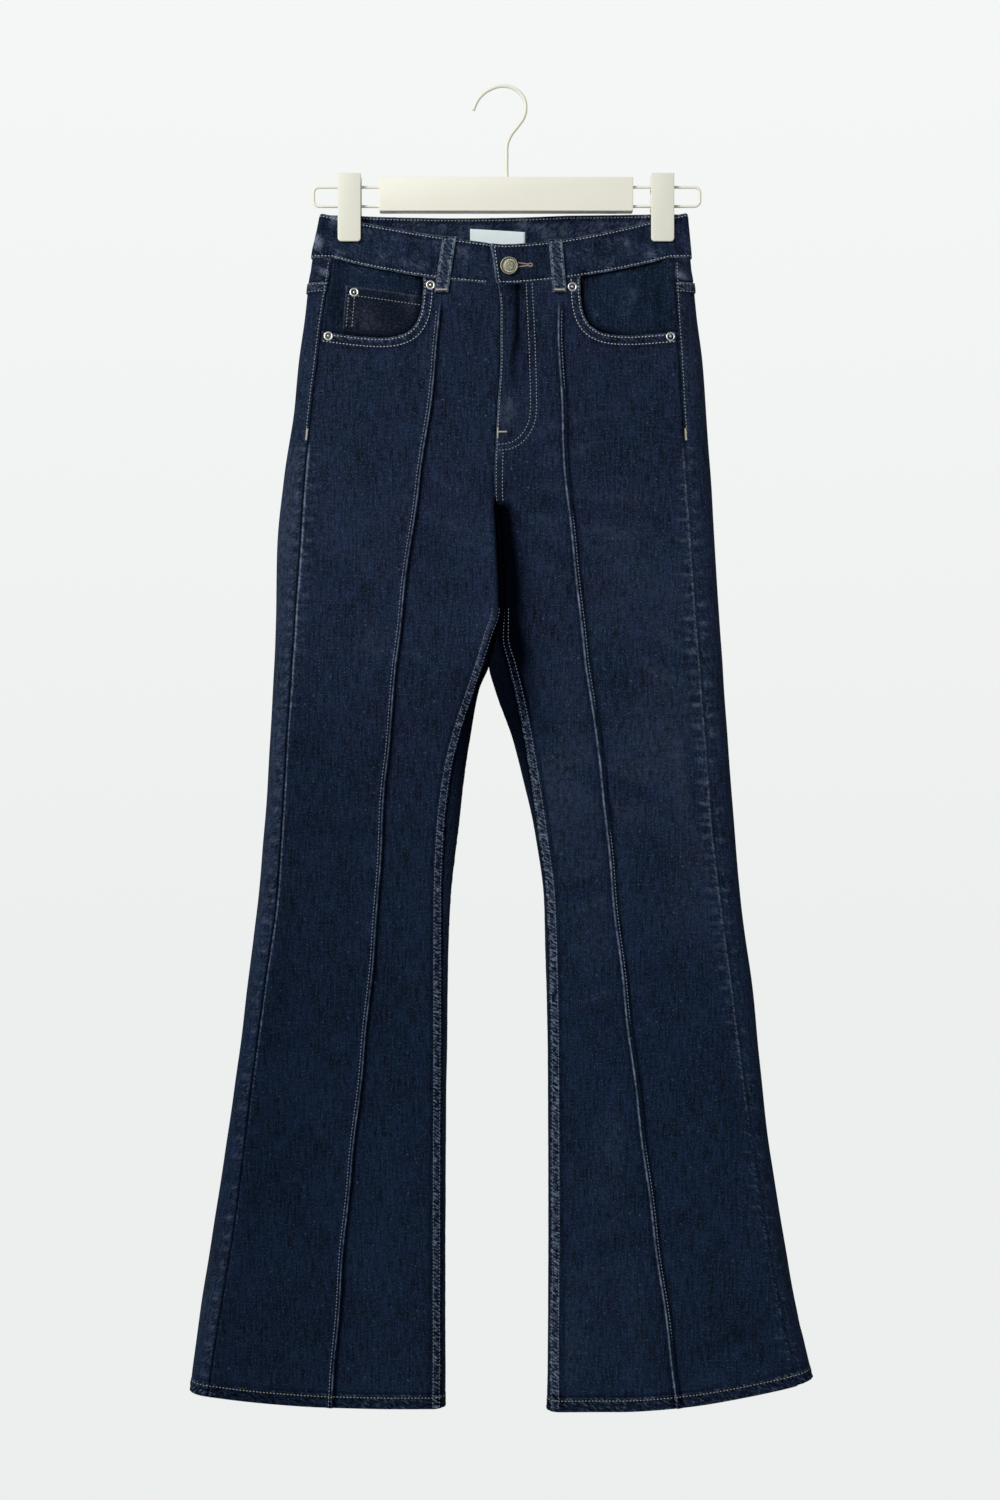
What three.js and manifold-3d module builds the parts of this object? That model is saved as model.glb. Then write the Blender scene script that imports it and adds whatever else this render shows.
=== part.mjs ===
// Bootcut denim jeans hung by the waistband from a bar hanger with two clips.
// Millimetres, +Z up. The front of the jeans faces -Y, and +X is on the right of someone
// who looks at that front. The origin is the underside of the hook's crown, where the
// hanger rests on whatever carries it.
//
// The cloth is a set of thin walls on one hollow form. At every height the form is a flat
// ring: a front and a back half-depth that close over a folded edge at each side. Above
// the crotch one ring goes round both hips, with a valley in its middle that deepens down
// to the crotch, and below it each leg has a ring of its own.
import * as THREE from 'three';
import { mergeVertices } from 'three/addons/utils/BufferGeometryUtils.js';
import Module from 'manifold-3d';

const wasm = await Module();
wasm.setup();

// ---- driving dimensions -------------------------------------------------------------
const SEAM_GAP = 0.3;          // between two pieces that are sewn or rest together
const DENIM = 1.2;             // one layer of denim
const BAND = { wall: 2.4, proud: 0.8, gap: 0.6 };  // waistband: two layers and its turnings
const FOLD = { cloth: 1.5, band: 1.1 };            // length of a folded edge, in half-depths
const APEX = -542;             // where the two legs part
const CROTCH = -491;           // where the centre front seam ends and the inseams start
const HEM = { z: -1229, depth: 12, lift: 0.5, wall: 2.2 };
const TUCK = { height: 1.9, run: 9, step: 1.1 };   // the sewn crease down each front
const WAIST_SIDE = -161;       // waistband seam at the sides
const YOKE_SIDE = -184;        // yoke seam at the sides

// ---- the form -----------------------------------------------------------------------
// Each leg: x of the folded outer edge, the side seam, the sewn crease, the front's inner
// seam (centre front, then inseam) and the inner edge (centre line, then inner fold).
const LEGS = {
  left: [
    { z: -118, out: -171, side: -157, tuck: -56, seam: -9, inn: -9 },
    { z: -161, out: -180, side: -159.5, tuck: -57, seam: -7.5, inn: -7.5 },
    { z: -215, out: -186, side: -167.5, tuck: -59.5, seam: -2.5, inn: -2.5 },
    { z: -256, out: -191.5, side: -172.5, tuck: -63, seam: -2.5, inn: -2.5 },
    { z: -300, out: -195.5, side: -178, tuck: -68, seam: -5, inn: -5 },
    { z: -370, out: -206, side: -185, tuck: -78, seam: -8, inn: -8 },
    { z: -444, out: -212.5, side: -190, tuck: -88.5, seam: -4.5, inn: -4.5 },
    { z: -491, out: -213.5, side: -193.5, tuck: -94.5, seam: -3, inn: -3 },
    { z: -515, out: -214.5, side: -195, tuck: -97, seam: -10, inn: -7.5 },
    { z: -542, out: -215.5, side: -197, tuck: -100, seam: -18, inn: -13 },
    { z: -566, out: -216.5, side: -198.5, tuck: -102, seam: -26, inn: -22.5 },
    { z: -613, out: -219, side: -202, tuck: -106.5, seam: -41, inn: -31 },
    { z: -650, out: -221, side: -204, tuck: -110, seam: -49, inn: -36.5 },
    { z: -700, out: -224.5, side: -207, tuck: -113.5, seam: -54.5, inn: -42 },
    { z: -763, out: -229.5, side: -211.5, tuck: -117, seam: -57, inn: -49 },
    { z: -838, out: -239.5, side: -222, tuck: -123.5, seam: -57.5, inn: -52 },
    { z: -914, out: -249, side: -232, tuck: -131, seam: -58, inn: -53 },
    { z: -1064, out: -271, side: -250.5, tuck: -147, seam: -59, inn: -54 },
    { z: -1190, out: -290, side: -270.5, tuck: -157, seam: -59, inn: -54 },
    { z: -1245, out: -297, side: -278, tuck: -161, seam: -59.5, inn: -54 },
  ],
  right: [
    { z: -118, out: 173, side: 158.5, tuck: 52, seam: -9, inn: -9 },
    { z: -161, out: 177, side: 159.5, tuck: 52.5, seam: -7.5, inn: -7.5 },
    { z: -215, out: 182, side: 161.5, tuck: 52, seam: -2.5, inn: -2.5 },
    { z: -256, out: 187, side: 164, tuck: 53, seam: -2.5, inn: -2.5 },
    { z: -300, out: 190, side: 166.5, tuck: 55, seam: -5, inn: -5 },
    { z: -370, out: 195.5, side: 171.5, tuck: 58.5, seam: -8, inn: -8 },
    { z: -444, out: 199.5, side: 177, tuck: 67, seam: -4.5, inn: -4.5 },
    { z: -491, out: 203, side: 180, tuck: 71.5, seam: -3, inn: -3 },
    { z: -515, out: 204.5, side: 182, tuck: 74, seam: -3.4, inn: -7.5 },
    { z: -542, out: 206.5, side: 184.5, tuck: 77.5, seam: 4, inn: -13 },
    { z: -566, out: 208, side: 186, tuck: 81.5, seam: 10, inn: -7.5 },
    { z: -613, out: 211.5, side: 190, tuck: 87.5, seam: 20, inn: 9.5 },
    { z: -650, out: 214.5, side: 192.5, tuck: 92.5, seam: 26, inn: 19.5 },
    { z: -700, out: 218, side: 196.5, tuck: 97.5, seam: 33.5, inn: 30 },
    { z: -763, out: 223.5, side: 204, tuck: 103.5, seam: 41, inn: 38.5 },
    { z: -838, out: 234, side: 214, tuck: 112, seam: 43.5, inn: 41 },
    { z: -914, out: 241, side: 223.5, tuck: 121, seam: 44.5, inn: 42 },
    { z: -1064, out: 260.5, side: 245, tuck: 140, seam: 45, inn: 42.5 },
    { z: -1190, out: 285.5, side: 269, tuck: 157, seam: 44.5, inn: 42 },
    { z: -1245, out: 299, side: 280.5, tuck: 163.5, seam: 44.5, inn: 41 },
  ],
};
// Half-depths of the front and the back, how far the middle valley has closed them (0 to
// 1), and how wide its two banks are.
const DEPTHS = [
  { z: -118, fore: 12, aft: 10, valley: 0, bankL: 8, bankR: 24 },
  { z: -230, fore: 13, aft: 12, valley: 0, bankL: 8, bankR: 24 },
  { z: -360, fore: 13, aft: 14, valley: 0, bankL: 8, bankR: 24 },
  { z: -444, fore: 12.5, aft: 13, valley: 0.5, bankL: 8, bankR: 24 },
  { z: -491, fore: 12, aft: 12, valley: 0.62, bankL: 9, bankR: 24 },
  { z: -515, fore: 11.5, aft: 11, valley: 0.74, bankL: 10, bankR: 22 },
  { z: -542, fore: 11, aft: 10, valley: 1, bankL: 12, bankR: 18 },
  { z: -613, fore: 10, aft: 9, valley: 1, bankL: 14, bankR: 14 },
  { z: -763, fore: 9, aft: 8.5, valley: 1, bankL: 13, bankR: 13 },
  { z: -914, fore: 8.5, aft: 8, valley: 1, bankL: 12, bankR: 12 },
  { z: -1139, fore: 10, aft: 9, valley: 1, bankL: 14, bankR: 14 },
  { z: -1245, fore: 12, aft: 11, valley: 1, bankL: 16, bankR: 16 },
];
// The clips pinch front and back together, and between them both fall open.
const PINCH = { left: -144, right: 149.5, half: 11, depth: 4.2, foreOpen: 15, aftOpen: 9 };
const PINCH_FADE = { from: -135, to: -250 };

/** Smooth curve through a table's column, with no overshoot between two rows. */
function column(rows, key) {
  const at = rows.map((row) => -row.z);
  const value = rows.map((row) => row[key]);
  const slope = at.map((_, i) => {
    if (i === 0 || i === at.length - 1) return 0;
    const before = (value[i] - value[i - 1]) / (at[i] - at[i - 1]);
    const after = (value[i + 1] - value[i]) / (at[i + 1] - at[i]);
    return before * after <= 0 ? 0 : (2 * before * after) / (before + after);
  });
  slope[0] = (value[1] - value[0]) / (at[1] - at[0]);
  const last = at.length - 1;
  slope[last] = (value[last] - value[last - 1]) / (at[last] - at[last - 1]);
  return (z) => {
    const s = THREE.MathUtils.clamp(-z, at[0], at[last]);
    let i = 0;
    while (i < last - 1 && s > at[i + 1]) i += 1;
    const step = at[i + 1] - at[i];
    const t = (s - at[i]) / step;
    const rise = value[i + 1] - value[i];
    const a = slope[i] * step - rise;
    const b = rise - slope[i + 1] * step;
    return value[i] + t * rise + t * (1 - t) * (a * (1 - t) + b * t);
  };
}
const table = (rows) => {
  const keys = Object.keys(rows[0]).filter((key) => key !== 'z');
  return Object.fromEntries(keys.map((key) => [key, column(rows, key)]));
};
const LEG = { left: table(LEGS.left), right: table(LEGS.right) };
const DEPTH = table(DEPTHS);

/** 0 at `from`, 1 at `to`, and smooth between. */
const ease = (value, from, to) => {
  const t = THREE.MathUtils.clamp((value - from) / (to - from), 0, 1);
  return t * t * (3 - 2 * t);
};
/** Height of a quarter ellipse at a fraction of its length. */
const quarter = (t) => (t >= 1 ? 1 : Math.sqrt(Math.max(0, 1 - (1 - t) ** 2)));

/** How far the waist falls open at x, from 0 at the clips to 1 between them. */
function opening(x) {
  const from = PINCH.left + PINCH.half;
  const to = PINCH.right - PINCH.half;
  const t = THREE.MathUtils.clamp((x - from) / (to - from), 0, 1);
  return Math.sin(Math.PI * t) ** 0.9;
}
/** Half-depth of the form at x and z, on its front or its back. */
function halfDepth(leg, face, x, z) {
  const fore = face === 'front';
  const open = opening(x);
  const out = Math.abs(x - LEG[leg].out(z));
  const inner = Math.abs(x - LEG[leg].inn(z));
  const full = fore ? DEPTH.fore(z) : DEPTH.aft(z);
  const bank = leg === 'left' ? DEPTH.bankL(z) : DEPTH.bankR(z);
  const dip = DEPTH.valley(z) * (1 - quarter(inner / bank));
  const body = full * quarter(out / (full * FOLD.cloth)) * (1 - dip);
  const waist = PINCH.depth + ((fore ? PINCH.foreOpen : PINCH.aftOpen) - PINCH.depth) * open;
  const band = waist * quarter(out / (waist * FOLD.band));
  return THREE.MathUtils.lerp(band, body, ease(z, PINCH_FADE.from, PINCH_FADE.to));
}
/** Point of the form at x and z. */
function onForm(leg, face, x, z) {
  const y = halfDepth(leg, face, x, z);
  return new THREE.Vector3(x, face === 'front' ? -y : y, z);
}
/** Outward normal of the form, found from its neighbours along the ring and down it. */
function normalAt(leg, face, x, z) {
  const nearOut = Math.abs(x - LEG[leg].out(z)) < Math.abs(x - LEG[leg].inn(z));
  const edge = nearOut ? LEG[leg].out : LEG[leg].inn;
  const closes = nearOut || z <= APEX;
  const inward = Math.sign((nearOut ? LEG[leg].inn(z) : LEG[leg].out(z)) - edge(z));
  const reach = Math.abs(x - edge(z));
  const soft = 4;                       // length over which steps turn round a fold
  const r = (reach + Math.sqrt(reach * reach + 4 * reach * soft)) / 2;
  const across = (step) => {
    const turned = r + step < 0;
    const s = Math.abs(closes ? r + step : Math.max(0, r + step));
    const other = face === 'front' ? 'back' : 'front';
    const d = (s * s) / (s + soft);
    return onForm(leg, turned && closes ? other : face, edge(z) + inward * d, z);
  };
  const down = (step) => onForm(leg, face, edge(z + step) + inward * reach, z + step);
  const along = across(0.8).sub(across(-0.8));
  const fall = down(-1.5).sub(down(1.5));
  const normal = along.cross(fall).normalize();
  const facing = face === 'front' ? -normal.y : normal.y;
  const outward = Math.abs(facing) > 0.15 ? facing : -normal.x * inward;
  return outward < 0 ? normal.negate() : normal;
}

// ---- walls --------------------------------------------------------------------------
/** A point of a wall: its place on the form and how far its two sides stand out from it. */
function wallPoint(leg, face, x, z, top, under) {
  const place = onForm(leg, face, x, z);
  return { place, normal: normalAt(leg, face, x, z), top, under };
}
/** Closed wall over grids of wall points, joined where their places meet. Rows go down and
    columns go from left to right as seen from outside. */
function wall(...grids) {
  const points = [];
  const known = new Map();
  const indexOf = (point) => {
    const key = [...point.place.toArray(), point.top].map((v) => Math.round(v * 1000)).join(' ');
    if (!known.has(key)) {
      known.set(key, points.length);
      points.push(point);
    }
    return known.get(key);
  };
  const faces = [];
  for (const grid of grids) {
    const index = grid.map((row) => row.map(indexOf));
    for (let i = 0; i + 1 < index.length; i += 1) {
      for (let j = 0; j + 1 < index[i].length; j += 1) {
        const [a, b, c, d] = [index[i][j], index[i + 1][j], index[i + 1][j + 1], index[i][j + 1]];
        for (const face of [[a, b, c], [a, c, d]]) {
          if (new Set(face).size === 3) faces.push(face);
        }
      }
    }
  }
  const count = points.length;
  const edges = new Set(faces.flatMap(([a, b, c]) => [`${a} ${b}`, `${b} ${c}`, `${c} ${a}`]));
  const triangles = [];
  for (const [a, b, c] of faces) {
    triangles.push([a, b, c], [a + count, c + count, b + count]);
    for (const [p, q] of [[a, b], [b, c], [c, a]]) {
      if (edges.has(`${q} ${p}`)) continue;
      triangles.push([q, p, p + count], [q, p + count, q + count]);
    }
  }
  const side = (key) => points.flatMap((point) => point.place.clone()
    .addScaledVector(point.normal, point[key]).toArray());
  const geometry = new THREE.BufferGeometry();
  const positions = new Float32Array([...side('top'), ...side('under')]);
  geometry.setAttribute('position', new THREE.BufferAttribute(positions, 3));
  geometry.setIndex(triangles.flat());
  return geometry;
}

// ---- booleans -----------------------------------------------------------------------
function toSolid(geometry) {
  const bare = geometry.clone();
  bare.deleteAttribute('normal');
  bare.deleteAttribute('uv');
  const merged = mergeVertices(bare, 1e-4);
  return new wasm.Manifold(new wasm.Mesh({
    numProp: 3,
    vertProperties: new Float32Array(merged.attributes.position.array),
    triVerts: new Uint32Array(merged.index.array),
  }));
}
function toGeometry(solid) {
  const mesh = solid.getMesh();
  const geometry = new THREE.BufferGeometry();
  geometry.setAttribute('position', new THREE.BufferAttribute(mesh.vertProperties, 3));
  geometry.setIndex(new THREE.BufferAttribute(mesh.triVerts, 1));
  return geometry;
}
/** A wall's grids as a solid that is larger by a gap on both of its sides. */
const grown = (grids, gap) => toSolid(wall(...grids.map((grid) => grid.map((row) => (
  row.map((point) => ({ ...point, top: point.top + gap, under: point.under - gap })))))));
/** What is left of a wall that lies on, or behind, other walls, without loose slivers. */
function fitted(geometry, carriers) {
  const cut = carriers.reduce((solid, grids) => solid.subtract(grown(grids, SEAM_GAP)),
    toSolid(geometry));
  const bodies = cut.decompose().sort((a, b) => b.volume() - a.volume());
  return toGeometry(bodies[0]);
}

/** A block through front and middle with the outline of a shape in x and z. */
function throughFront(shape) {
  const block = new THREE.ExtrudeGeometry(shape, { depth: 60, bevelEnabled: false });
  return toSolid(block.rotateX(Math.PI / 2).translate(0, 0, 0));
}

// ---- materials ----------------------------------------------------------------------
const material = (color, roughness, metalness = 0) =>
  new THREE.MeshStandardMaterial({ color, roughness, metalness, side: THREE.DoubleSide });
const denim = material(0x1b2336, 0.9);
const nickel = material(0xb9bbb6, 0.35, 1);
const agedSilver = material(0x7d7c67, 0.45, 1);
const lacquer = material(0xe5e3d4, 0.45);
const wovenLabel = material(0xdfe8e6, 0.8);
const brass = material(0x9a8a5a, 0.4, 1);

const jeans = new THREE.Group();
function add(name, geometry, finish = denim, parent = jeans) {
  const mesh = new THREE.Mesh(geometry, finish);
  mesh.name = name;
  parent.add(mesh);
  return mesh;
}
const LEG_NAMES = ['left', 'right'];
/** +1 where x grows from a leg's outer edge to its inner one. */
const inwardOf = (leg) => (leg === 'left' ? 1 : -1);

// ---- edges that run across the cloth ------------------------------------------------
/** Lower edge of the waistband on the front and on the back. */
const bandSeam = (face, x) => (face === 'front'
  ? WAIST_SIDE - 26 * (1 - Math.min(1, Math.abs(x + 2) / 158) ** 1.7)
  : WAIST_SIDE - 4 * Math.max(0, 1 - (x / 175) ** 2));
/** Upper edge of the waistband: the front sags between the clips. */
const bandTop = (face, x) => {
  const side = Math.min(1, Math.abs(x) / 172);
  if (face === 'back') return -118 - 4.5 * (1 - side ** 2);
  const sag = x > 0 ? 3 * Math.sin(Math.PI * Math.min(1, x / 140)) : 0;
  return -118.5 - 32 * (1 - side ** 1.25) - sag;
};
const CENTRE = -5;                               // x of the centre back seam at the yoke
const YOKE_DROP = 46;                            // how far the yoke's point hangs down
const yokeSeam = (face, x) => (face === 'front'
  ? YOKE_SIDE
  : YOKE_SIDE - YOKE_DROP * Math.max(0, 1 - Math.abs(x - CENTRE) / 182));
/** Bottom of the hem: each leg's outer side hangs higher. */
const hemLine = (leg, x) => (leg === 'left'
  ? -1238 + 14 * Math.max(0, (-110 - x) / 187) ** 2
  : -1241 + 30 * Math.max(0, (x - 110) / 187) ** 1.7);

const ROWS = [-161, -184, -215, -256, -300, -345, -395, -444, -491, -515, -542, -566, -590,
  -613, -650, -700, -763, -838, -914, -989, -1064, -1139, -1190, HEM.z + HEM.depth, HEM.z];
/** Height of a row at x: rows near the top and the hem bend with those edges. */
function rowHeight(leg, face, row, x, topEdge, topSide) {
  const top = (topEdge(face, x) - topSide) * (1 - THREE.MathUtils.clamp((topSide - row) / 200, 0, 1));
  const hem = (hemLine(leg, x) - HEM.z) * THREE.MathUtils.clamp((-1064 - row) / (-1064 - HEM.z), 0, 1);
  return row + top + hem;
}
const inHem = (row) => row < HEM.z + HEM.depth + 1;

// ---- front panels -------------------------------------------------------------------
const FLY = { width: 32, bottom: -330, lap: 0.8 };
/** Columns of a front panel at a height: x of each, from the side seam inwards. */
function frontColumns(leg, z) {
  const { side, tuck, seam } = LEG[leg];
  const dir = inwardOf(leg);
  const from = side(z) + dir * SEAM_GAP / 2;
  const fold = tuck(z);
  const to = seam(z) - dir * SEAM_GAP / 2;
  const outer = [0, 8, 22].map((d) => from + dir * d);
  const middle = (from + dir * 22 + fold - dir * TUCK.run) / 2;
  const crease = [-TUCK.run, -TUCK.run / 3, 0, TUCK.step].map((d) => fold + dir * d);
  const room = Math.abs(to - fold) - TUCK.step;
  const inner = [0.5, 0.25, 0.1, 0.03, 0].map((t) => to - dir * room * t);
  return [...outer, middle, ...crease, ...inner];
}
/** How far the sewn crease stands out at a column of a front panel. */
function tuckHeight(leg, x, z) {
  const d = (LEG[leg].tuck(z) - x) * inwardOf(leg);
  if (d < 0) return Math.max(0, TUCK.height * (1 + d / TUCK.step));
  return TUCK.height * Math.max(0, 1 - d / TUCK.run) ** 2;
}
function frontGrid(leg) {
  return ROWS.map((row) => {
    const columns = frontColumns(leg, row).map((x, j) => {
      const guess = rowHeight(leg, 'front', row, x, bandSeam, WAIST_SIDE);
      const z = guess - (row === ROWS[0] ? BAND.gap : 0);
      const placed = frontColumns(leg, z)[j];
      const lap = leg === 'right' && z > FLY.bottom && placed < LEG[leg].seam(z) + FLY.width;
      const top = tuckHeight(leg, placed, z) + (inHem(row) ? HEM.lift : 0) + (lap ? FLY.lap : 0);
      return wallPoint(leg, 'front', placed, z, top, inHem(row) ? HEM.lift - HEM.wall : -DENIM);
    });
    return leg === 'left' ? columns : columns.reverse();
  });
}
const FRONT = { left: frontGrid('left'), right: frontGrid('right') };

// ---- pockets in the front -----------------------------------------------------------
// Each mouth is one curve from the waistband down and out to the side seam.
const MOUTHS = {
  left: { top: [-74, -160], waist: [-74.5, -182], bend: [[-75, -238], [-88, -240]], side: [-172, -231.5] },
  right: { top: [72, -160], waist: [72, -182], bend: [[73, -236], [84, -236]], side: [168, -232] },
};
function mouthShape(leg, inset) {
  const { top, waist, bend, side } = MOUTHS[leg];
  const dir = inwardOf(leg);
  const shift = ([x, z]) => [x - dir * inset, z + inset];
  const shape = new THREE.Shape();
  shape.moveTo(...shift(top));
  shape.lineTo(...shift(waist));
  shape.bezierCurveTo(...bend.map(shift).flat(), ...shift(side));
  shape.lineTo(side[0] - dir * 40, side[1] + inset);
  shape.lineTo(side[0] - dir * 40, top[1]);
  const outline = shape.extractPoints(7).shape;
  const flat = new THREE.Shape(outline);
  return flat;
}
/** A mouth's block stands from the middle plane forwards. */
const mouthBlock = (leg, inset) => throughFront(mouthShape(leg, inset));

for (const leg of LEG_NAMES) {
  const cut = toSolid(wall(FRONT[leg])).subtract(mouthBlock(leg, 0));
  add(`front_${leg}`, toGeometry(cut));
}

// A denim facing closes each pocket behind its mouth.
const FACING = { edge: 0.6, drop: 1.4, depth: 24, beyond: 16, wall: 1, under: DENIM + SEAM_GAP };
for (const leg of LEG_NAMES) {
  const dir = inwardOf(leg);
  const rows = [0, 0.33, 0.66, 1].map((t) => {
    const columns = [0, 0.12, 0.3, 0.5, 0.75, 1].map((s) => {
      const from = LEG[leg].side(-200) + dir * FACING.edge;
      const x = THREE.MathUtils.lerp(from, MOUTHS[leg].waist[0] + dir * FACING.beyond, s);
      const top = bandSeam('front', x) - FACING.drop;
      const z = THREE.MathUtils.lerp(top, MOUTHS[leg].side[1] - FACING.depth, t);
      const shifted = x + (LEG[leg].side(z) - LEG[leg].side(-200)) * (1 - s);
      return wallPoint(leg, 'front', shifted, z, -FACING.under, -FACING.under - FACING.wall);
    });
    return leg === 'left' ? columns : columns.reverse();
  });
  add(`pocket_facing_${leg}`, fitted(wall(rows), [[FRONT[leg]]]));
}

// The coin pocket is sewn on the left facing, and its foot runs under the mouth's edge.
const COIN = { from: -147, to: -72, top: -189, slant: 6, wall: 0.9 };
{
  const under = -FACING.under + SEAM_GAP;
  const rows = [0, 0.5, 1].map((t) => [0, 0.33, 0.66, 1].map((s) => {
    const x = THREE.MathUtils.lerp(COIN.from - 4 * t, COIN.to, s);
    const z = THREE.MathUtils.lerp(COIN.top - COIN.slant * s, -246, t);
    return wallPoint('left', 'front', x, z, under + COIN.wall, under);
  }));
  add('coin_pocket', toGeometry(toSolid(wall(rows)).intersect(mouthBlock('left', 0.6))));
}

// ---- back panels --------------------------------------------------------------------
/** Columns of the back of a leg: face and x of each, from the side seam round the outer
    fold, over the back and to the inner edge. */
function backColumns(leg, z) {
  const { out, side, inn } = LEG[leg];
  const dir = inwardOf(leg);
  const gap = SEAM_GAP / 2;
  const wrap = Math.abs(side(z) - out(z)) - gap;
  const inner = inn(z) - (z >= APEX ? dir * gap : 0);
  const front = [1, 0.45, 0.12, 0].map((t) => ['front', out(z) + dir * wrap * t]);
  const turn = [2, 9, 22].map((d) => ['back', out(z) + dir * d]);
  const width = Math.abs(inner - out(z));
  const rest = [0.3, 0.5, 0.7].map((t) => ['back', out(z) + dir * width * t]);
  const end = [22, 8, 2, 0].map((d) => ['back', inner - dir * d]);
  return [...front, ...turn, ...rest, ...end];
}
/** Columns of the strip of the back that turns round to the inseam on the front. */
function stripColumns(leg, z) {
  const { inn, seam } = LEG[leg];
  const dir = inwardOf(leg);
  const inner = inn(z) - (z >= APEX ? dir * SEAM_GAP / 2 : 0);
  const width = Math.abs(seam(z) - inner) - SEAM_GAP / 2;
  return [0, 0.12, 0.45, 1].map((t) => ['front', inner - dir * width * t]);
}
function gridOf(leg, rows, columnsAt, topEdge, topSide, walls, reversed) {
  return rows.map((row) => {
    const columns = columnsAt(leg, row).map(([face, x], j) => {
      const gap = row === topSide ? SEAM_GAP : 0;
      const z = rowHeight(leg, face, row, x, topEdge, topSide) - gap;
      const placed = columnsAt(leg, z)[j][1];
      const [top, under] = walls(row);
      return wallPoint(leg, face, placed, z, top, under);
    });
    return reversed ? columns.reverse() : columns;
  });
}
const cloth = (row) => (inHem(row) ? [HEM.lift, HEM.lift - HEM.wall] : [0, -DENIM]);
const BACK = {};
for (const leg of LEG_NAMES) {
  const turned = leg === 'left';
  const main = gridOf(leg, ROWS.filter((z) => z <= YOKE_SIDE), backColumns, yokeSeam, YOKE_SIDE, cloth, turned);
  const legRows = [CROTCH - 8, ...ROWS.filter((z) => z < CROTCH)];
  const strip = gridOf(leg, legRows, stripColumns, yokeSeam, YOKE_SIDE, cloth, turned);
  BACK[leg] = [main, strip];
  add(`back_${leg}`, wall(...BACK[leg]));
}

// ---- yokes --------------------------------------------------------------------------
const YOKE = {};
for (const leg of LEG_NAMES) {
  const grid = [0, 0.5, 1].map((t) => {
    const line = backColumns(leg, WAIST_SIDE).map(([face, x], j) => {
      const upper = bandSeam(face, x) - BAND.gap;
      const lower = yokeSeam(face, backColumns(leg, YOKE_SIDE)[j][1]);
      const z = THREE.MathUtils.lerp(upper, lower, t);
      const placed = backColumns(leg, z)[j][1];
      return wallPoint(leg, face, placed, z, 0, -DENIM);
    });
    return leg === 'left' ? line.reverse() : line;
  });
  YOKE[leg] = [grid];
  add(`yoke_${leg}`, wall(grid));
}

// ---- waistband ----------------------------------------------------------------------
// One band round the body. Its buttonhole end laps over its button end at the front.
const LAP = { end: -10, under: 26, slope: 6 };
let WAISTBAND;
{
  const ring = [];
  const put = (leg, face, x, top = BAND.proud) => ring.push({ leg, face, x, top });
  const rightTip = LEG.right.out(-140);
  const leftTip = LEG.left.out(-140);
  for (const x of [LAP.end, 4, 18, 34, 52, 78, 104, 126, 139, 150, 160]) put('right', 'front', x);
  for (const d of [9, 4, 1.2, 0]) put('right', 'front', rightTip - d);
  for (const d of [1.2, 4, 9]) put('right', 'back', rightTip - d);
  for (const x of [160, 150, 139, 120, 90, 55, 20]) put('right', 'back', x);
  for (const x of [-20, -55, -90, -115, -134, -144, -155]) put('left', 'back', x);
  for (const d of [9, 4, 1.2, 0]) put('left', 'back', leftTip + d);
  for (const d of [1.2, 4, 9]) put('left', 'front', leftTip + d);
  for (const x of [-160, -144, -134, -120, -95, -70, -45, LAP.end - SEAM_GAP - LAP.slope]) {
    put('left', 'front', x);
  }
  const low = BAND.proud - BAND.wall - SEAM_GAP;
  put('left', 'front', LAP.end - SEAM_GAP, low);
  for (const x of [4, LAP.under]) put('right', 'front', x, low);
  WAISTBAND = [0, 0.5, 1].map((t) => ring.map(({ leg, face, x, top }) => {
    const z = THREE.MathUtils.lerp(bandTop(face, x), bandSeam(face, x), t);
    const tip = LEG[leg].out(z) - LEG[leg].out(-140);
    const nearTip = Math.abs(x - LEG[leg].out(-140)) < 15;
    const placed = nearTip ? x + tip : x;
    const thick = top === low ? 1.4 : BAND.wall;
    return wallPoint(leg, face, placed, z, top, top - thick);
  }));
  add('waistband', wall(WAISTBAND));
}

// ---- belt loops ---------------------------------------------------------------------
const LOOP = { half: 6.5, wall: 1.8, bulge: 1.6, below: 13, sink: 0.8 };
function beltLoop(name, face, topX, bottomX) {
  const leg = topX < CENTRE ? 'left' : 'right';
  const top = bandTop(face, topX) - 1;
  const seam = bandSeam(face, bottomX);
  const bottom = seam - LOOP.below;
  const rest = BAND.proud + SEAM_GAP;
  const stations = [
    { z: top, under: rest },
    { z: THREE.MathUtils.lerp(top, seam, 0.25), under: rest + LOOP.bulge * 0.8 },
    { z: THREE.MathUtils.lerp(top, seam, 0.6), under: rest + LOOP.bulge },
    { z: seam - SEAM_GAP, under: rest + LOOP.sink },
    { z: seam - 3, under: SEAM_GAP },
    { z: bottom, under: SEAM_GAP },
  ];
  const grid = stations.map(({ z, under }) => {
    const tuck = face === 'front' && z < seam ? TUCK.height : 0;
    const x = THREE.MathUtils.mapLinear(z, top, bottom, topX, bottomX);
    const row = [-LOOP.half, 0, LOOP.half].map((d) => (
      wallPoint(leg, face, x + d, z, under + LOOP.wall + tuck, under - LOOP.sink)));
    return face === 'front' ? row : row.reverse();
  });
  const carriers = face === 'front' ? [[FRONT[leg]]] : [YOKE.left, YOKE.right];
  add(name, fitted(wall(grid), [[WAISTBAND], ...carriers]));
}
beltLoop('belt_loop_front_left', 'front', -49.5, -57.5);
beltLoop('belt_loop_front_right', 'front', 48.5, 53);
beltLoop('belt_loop_side_left', 'back', -108, -108);
beltLoop('belt_loop_side_right', 'back', 100, 100);
beltLoop('belt_loop_centre_back', 'back', CENTRE, CENTRE);

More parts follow.
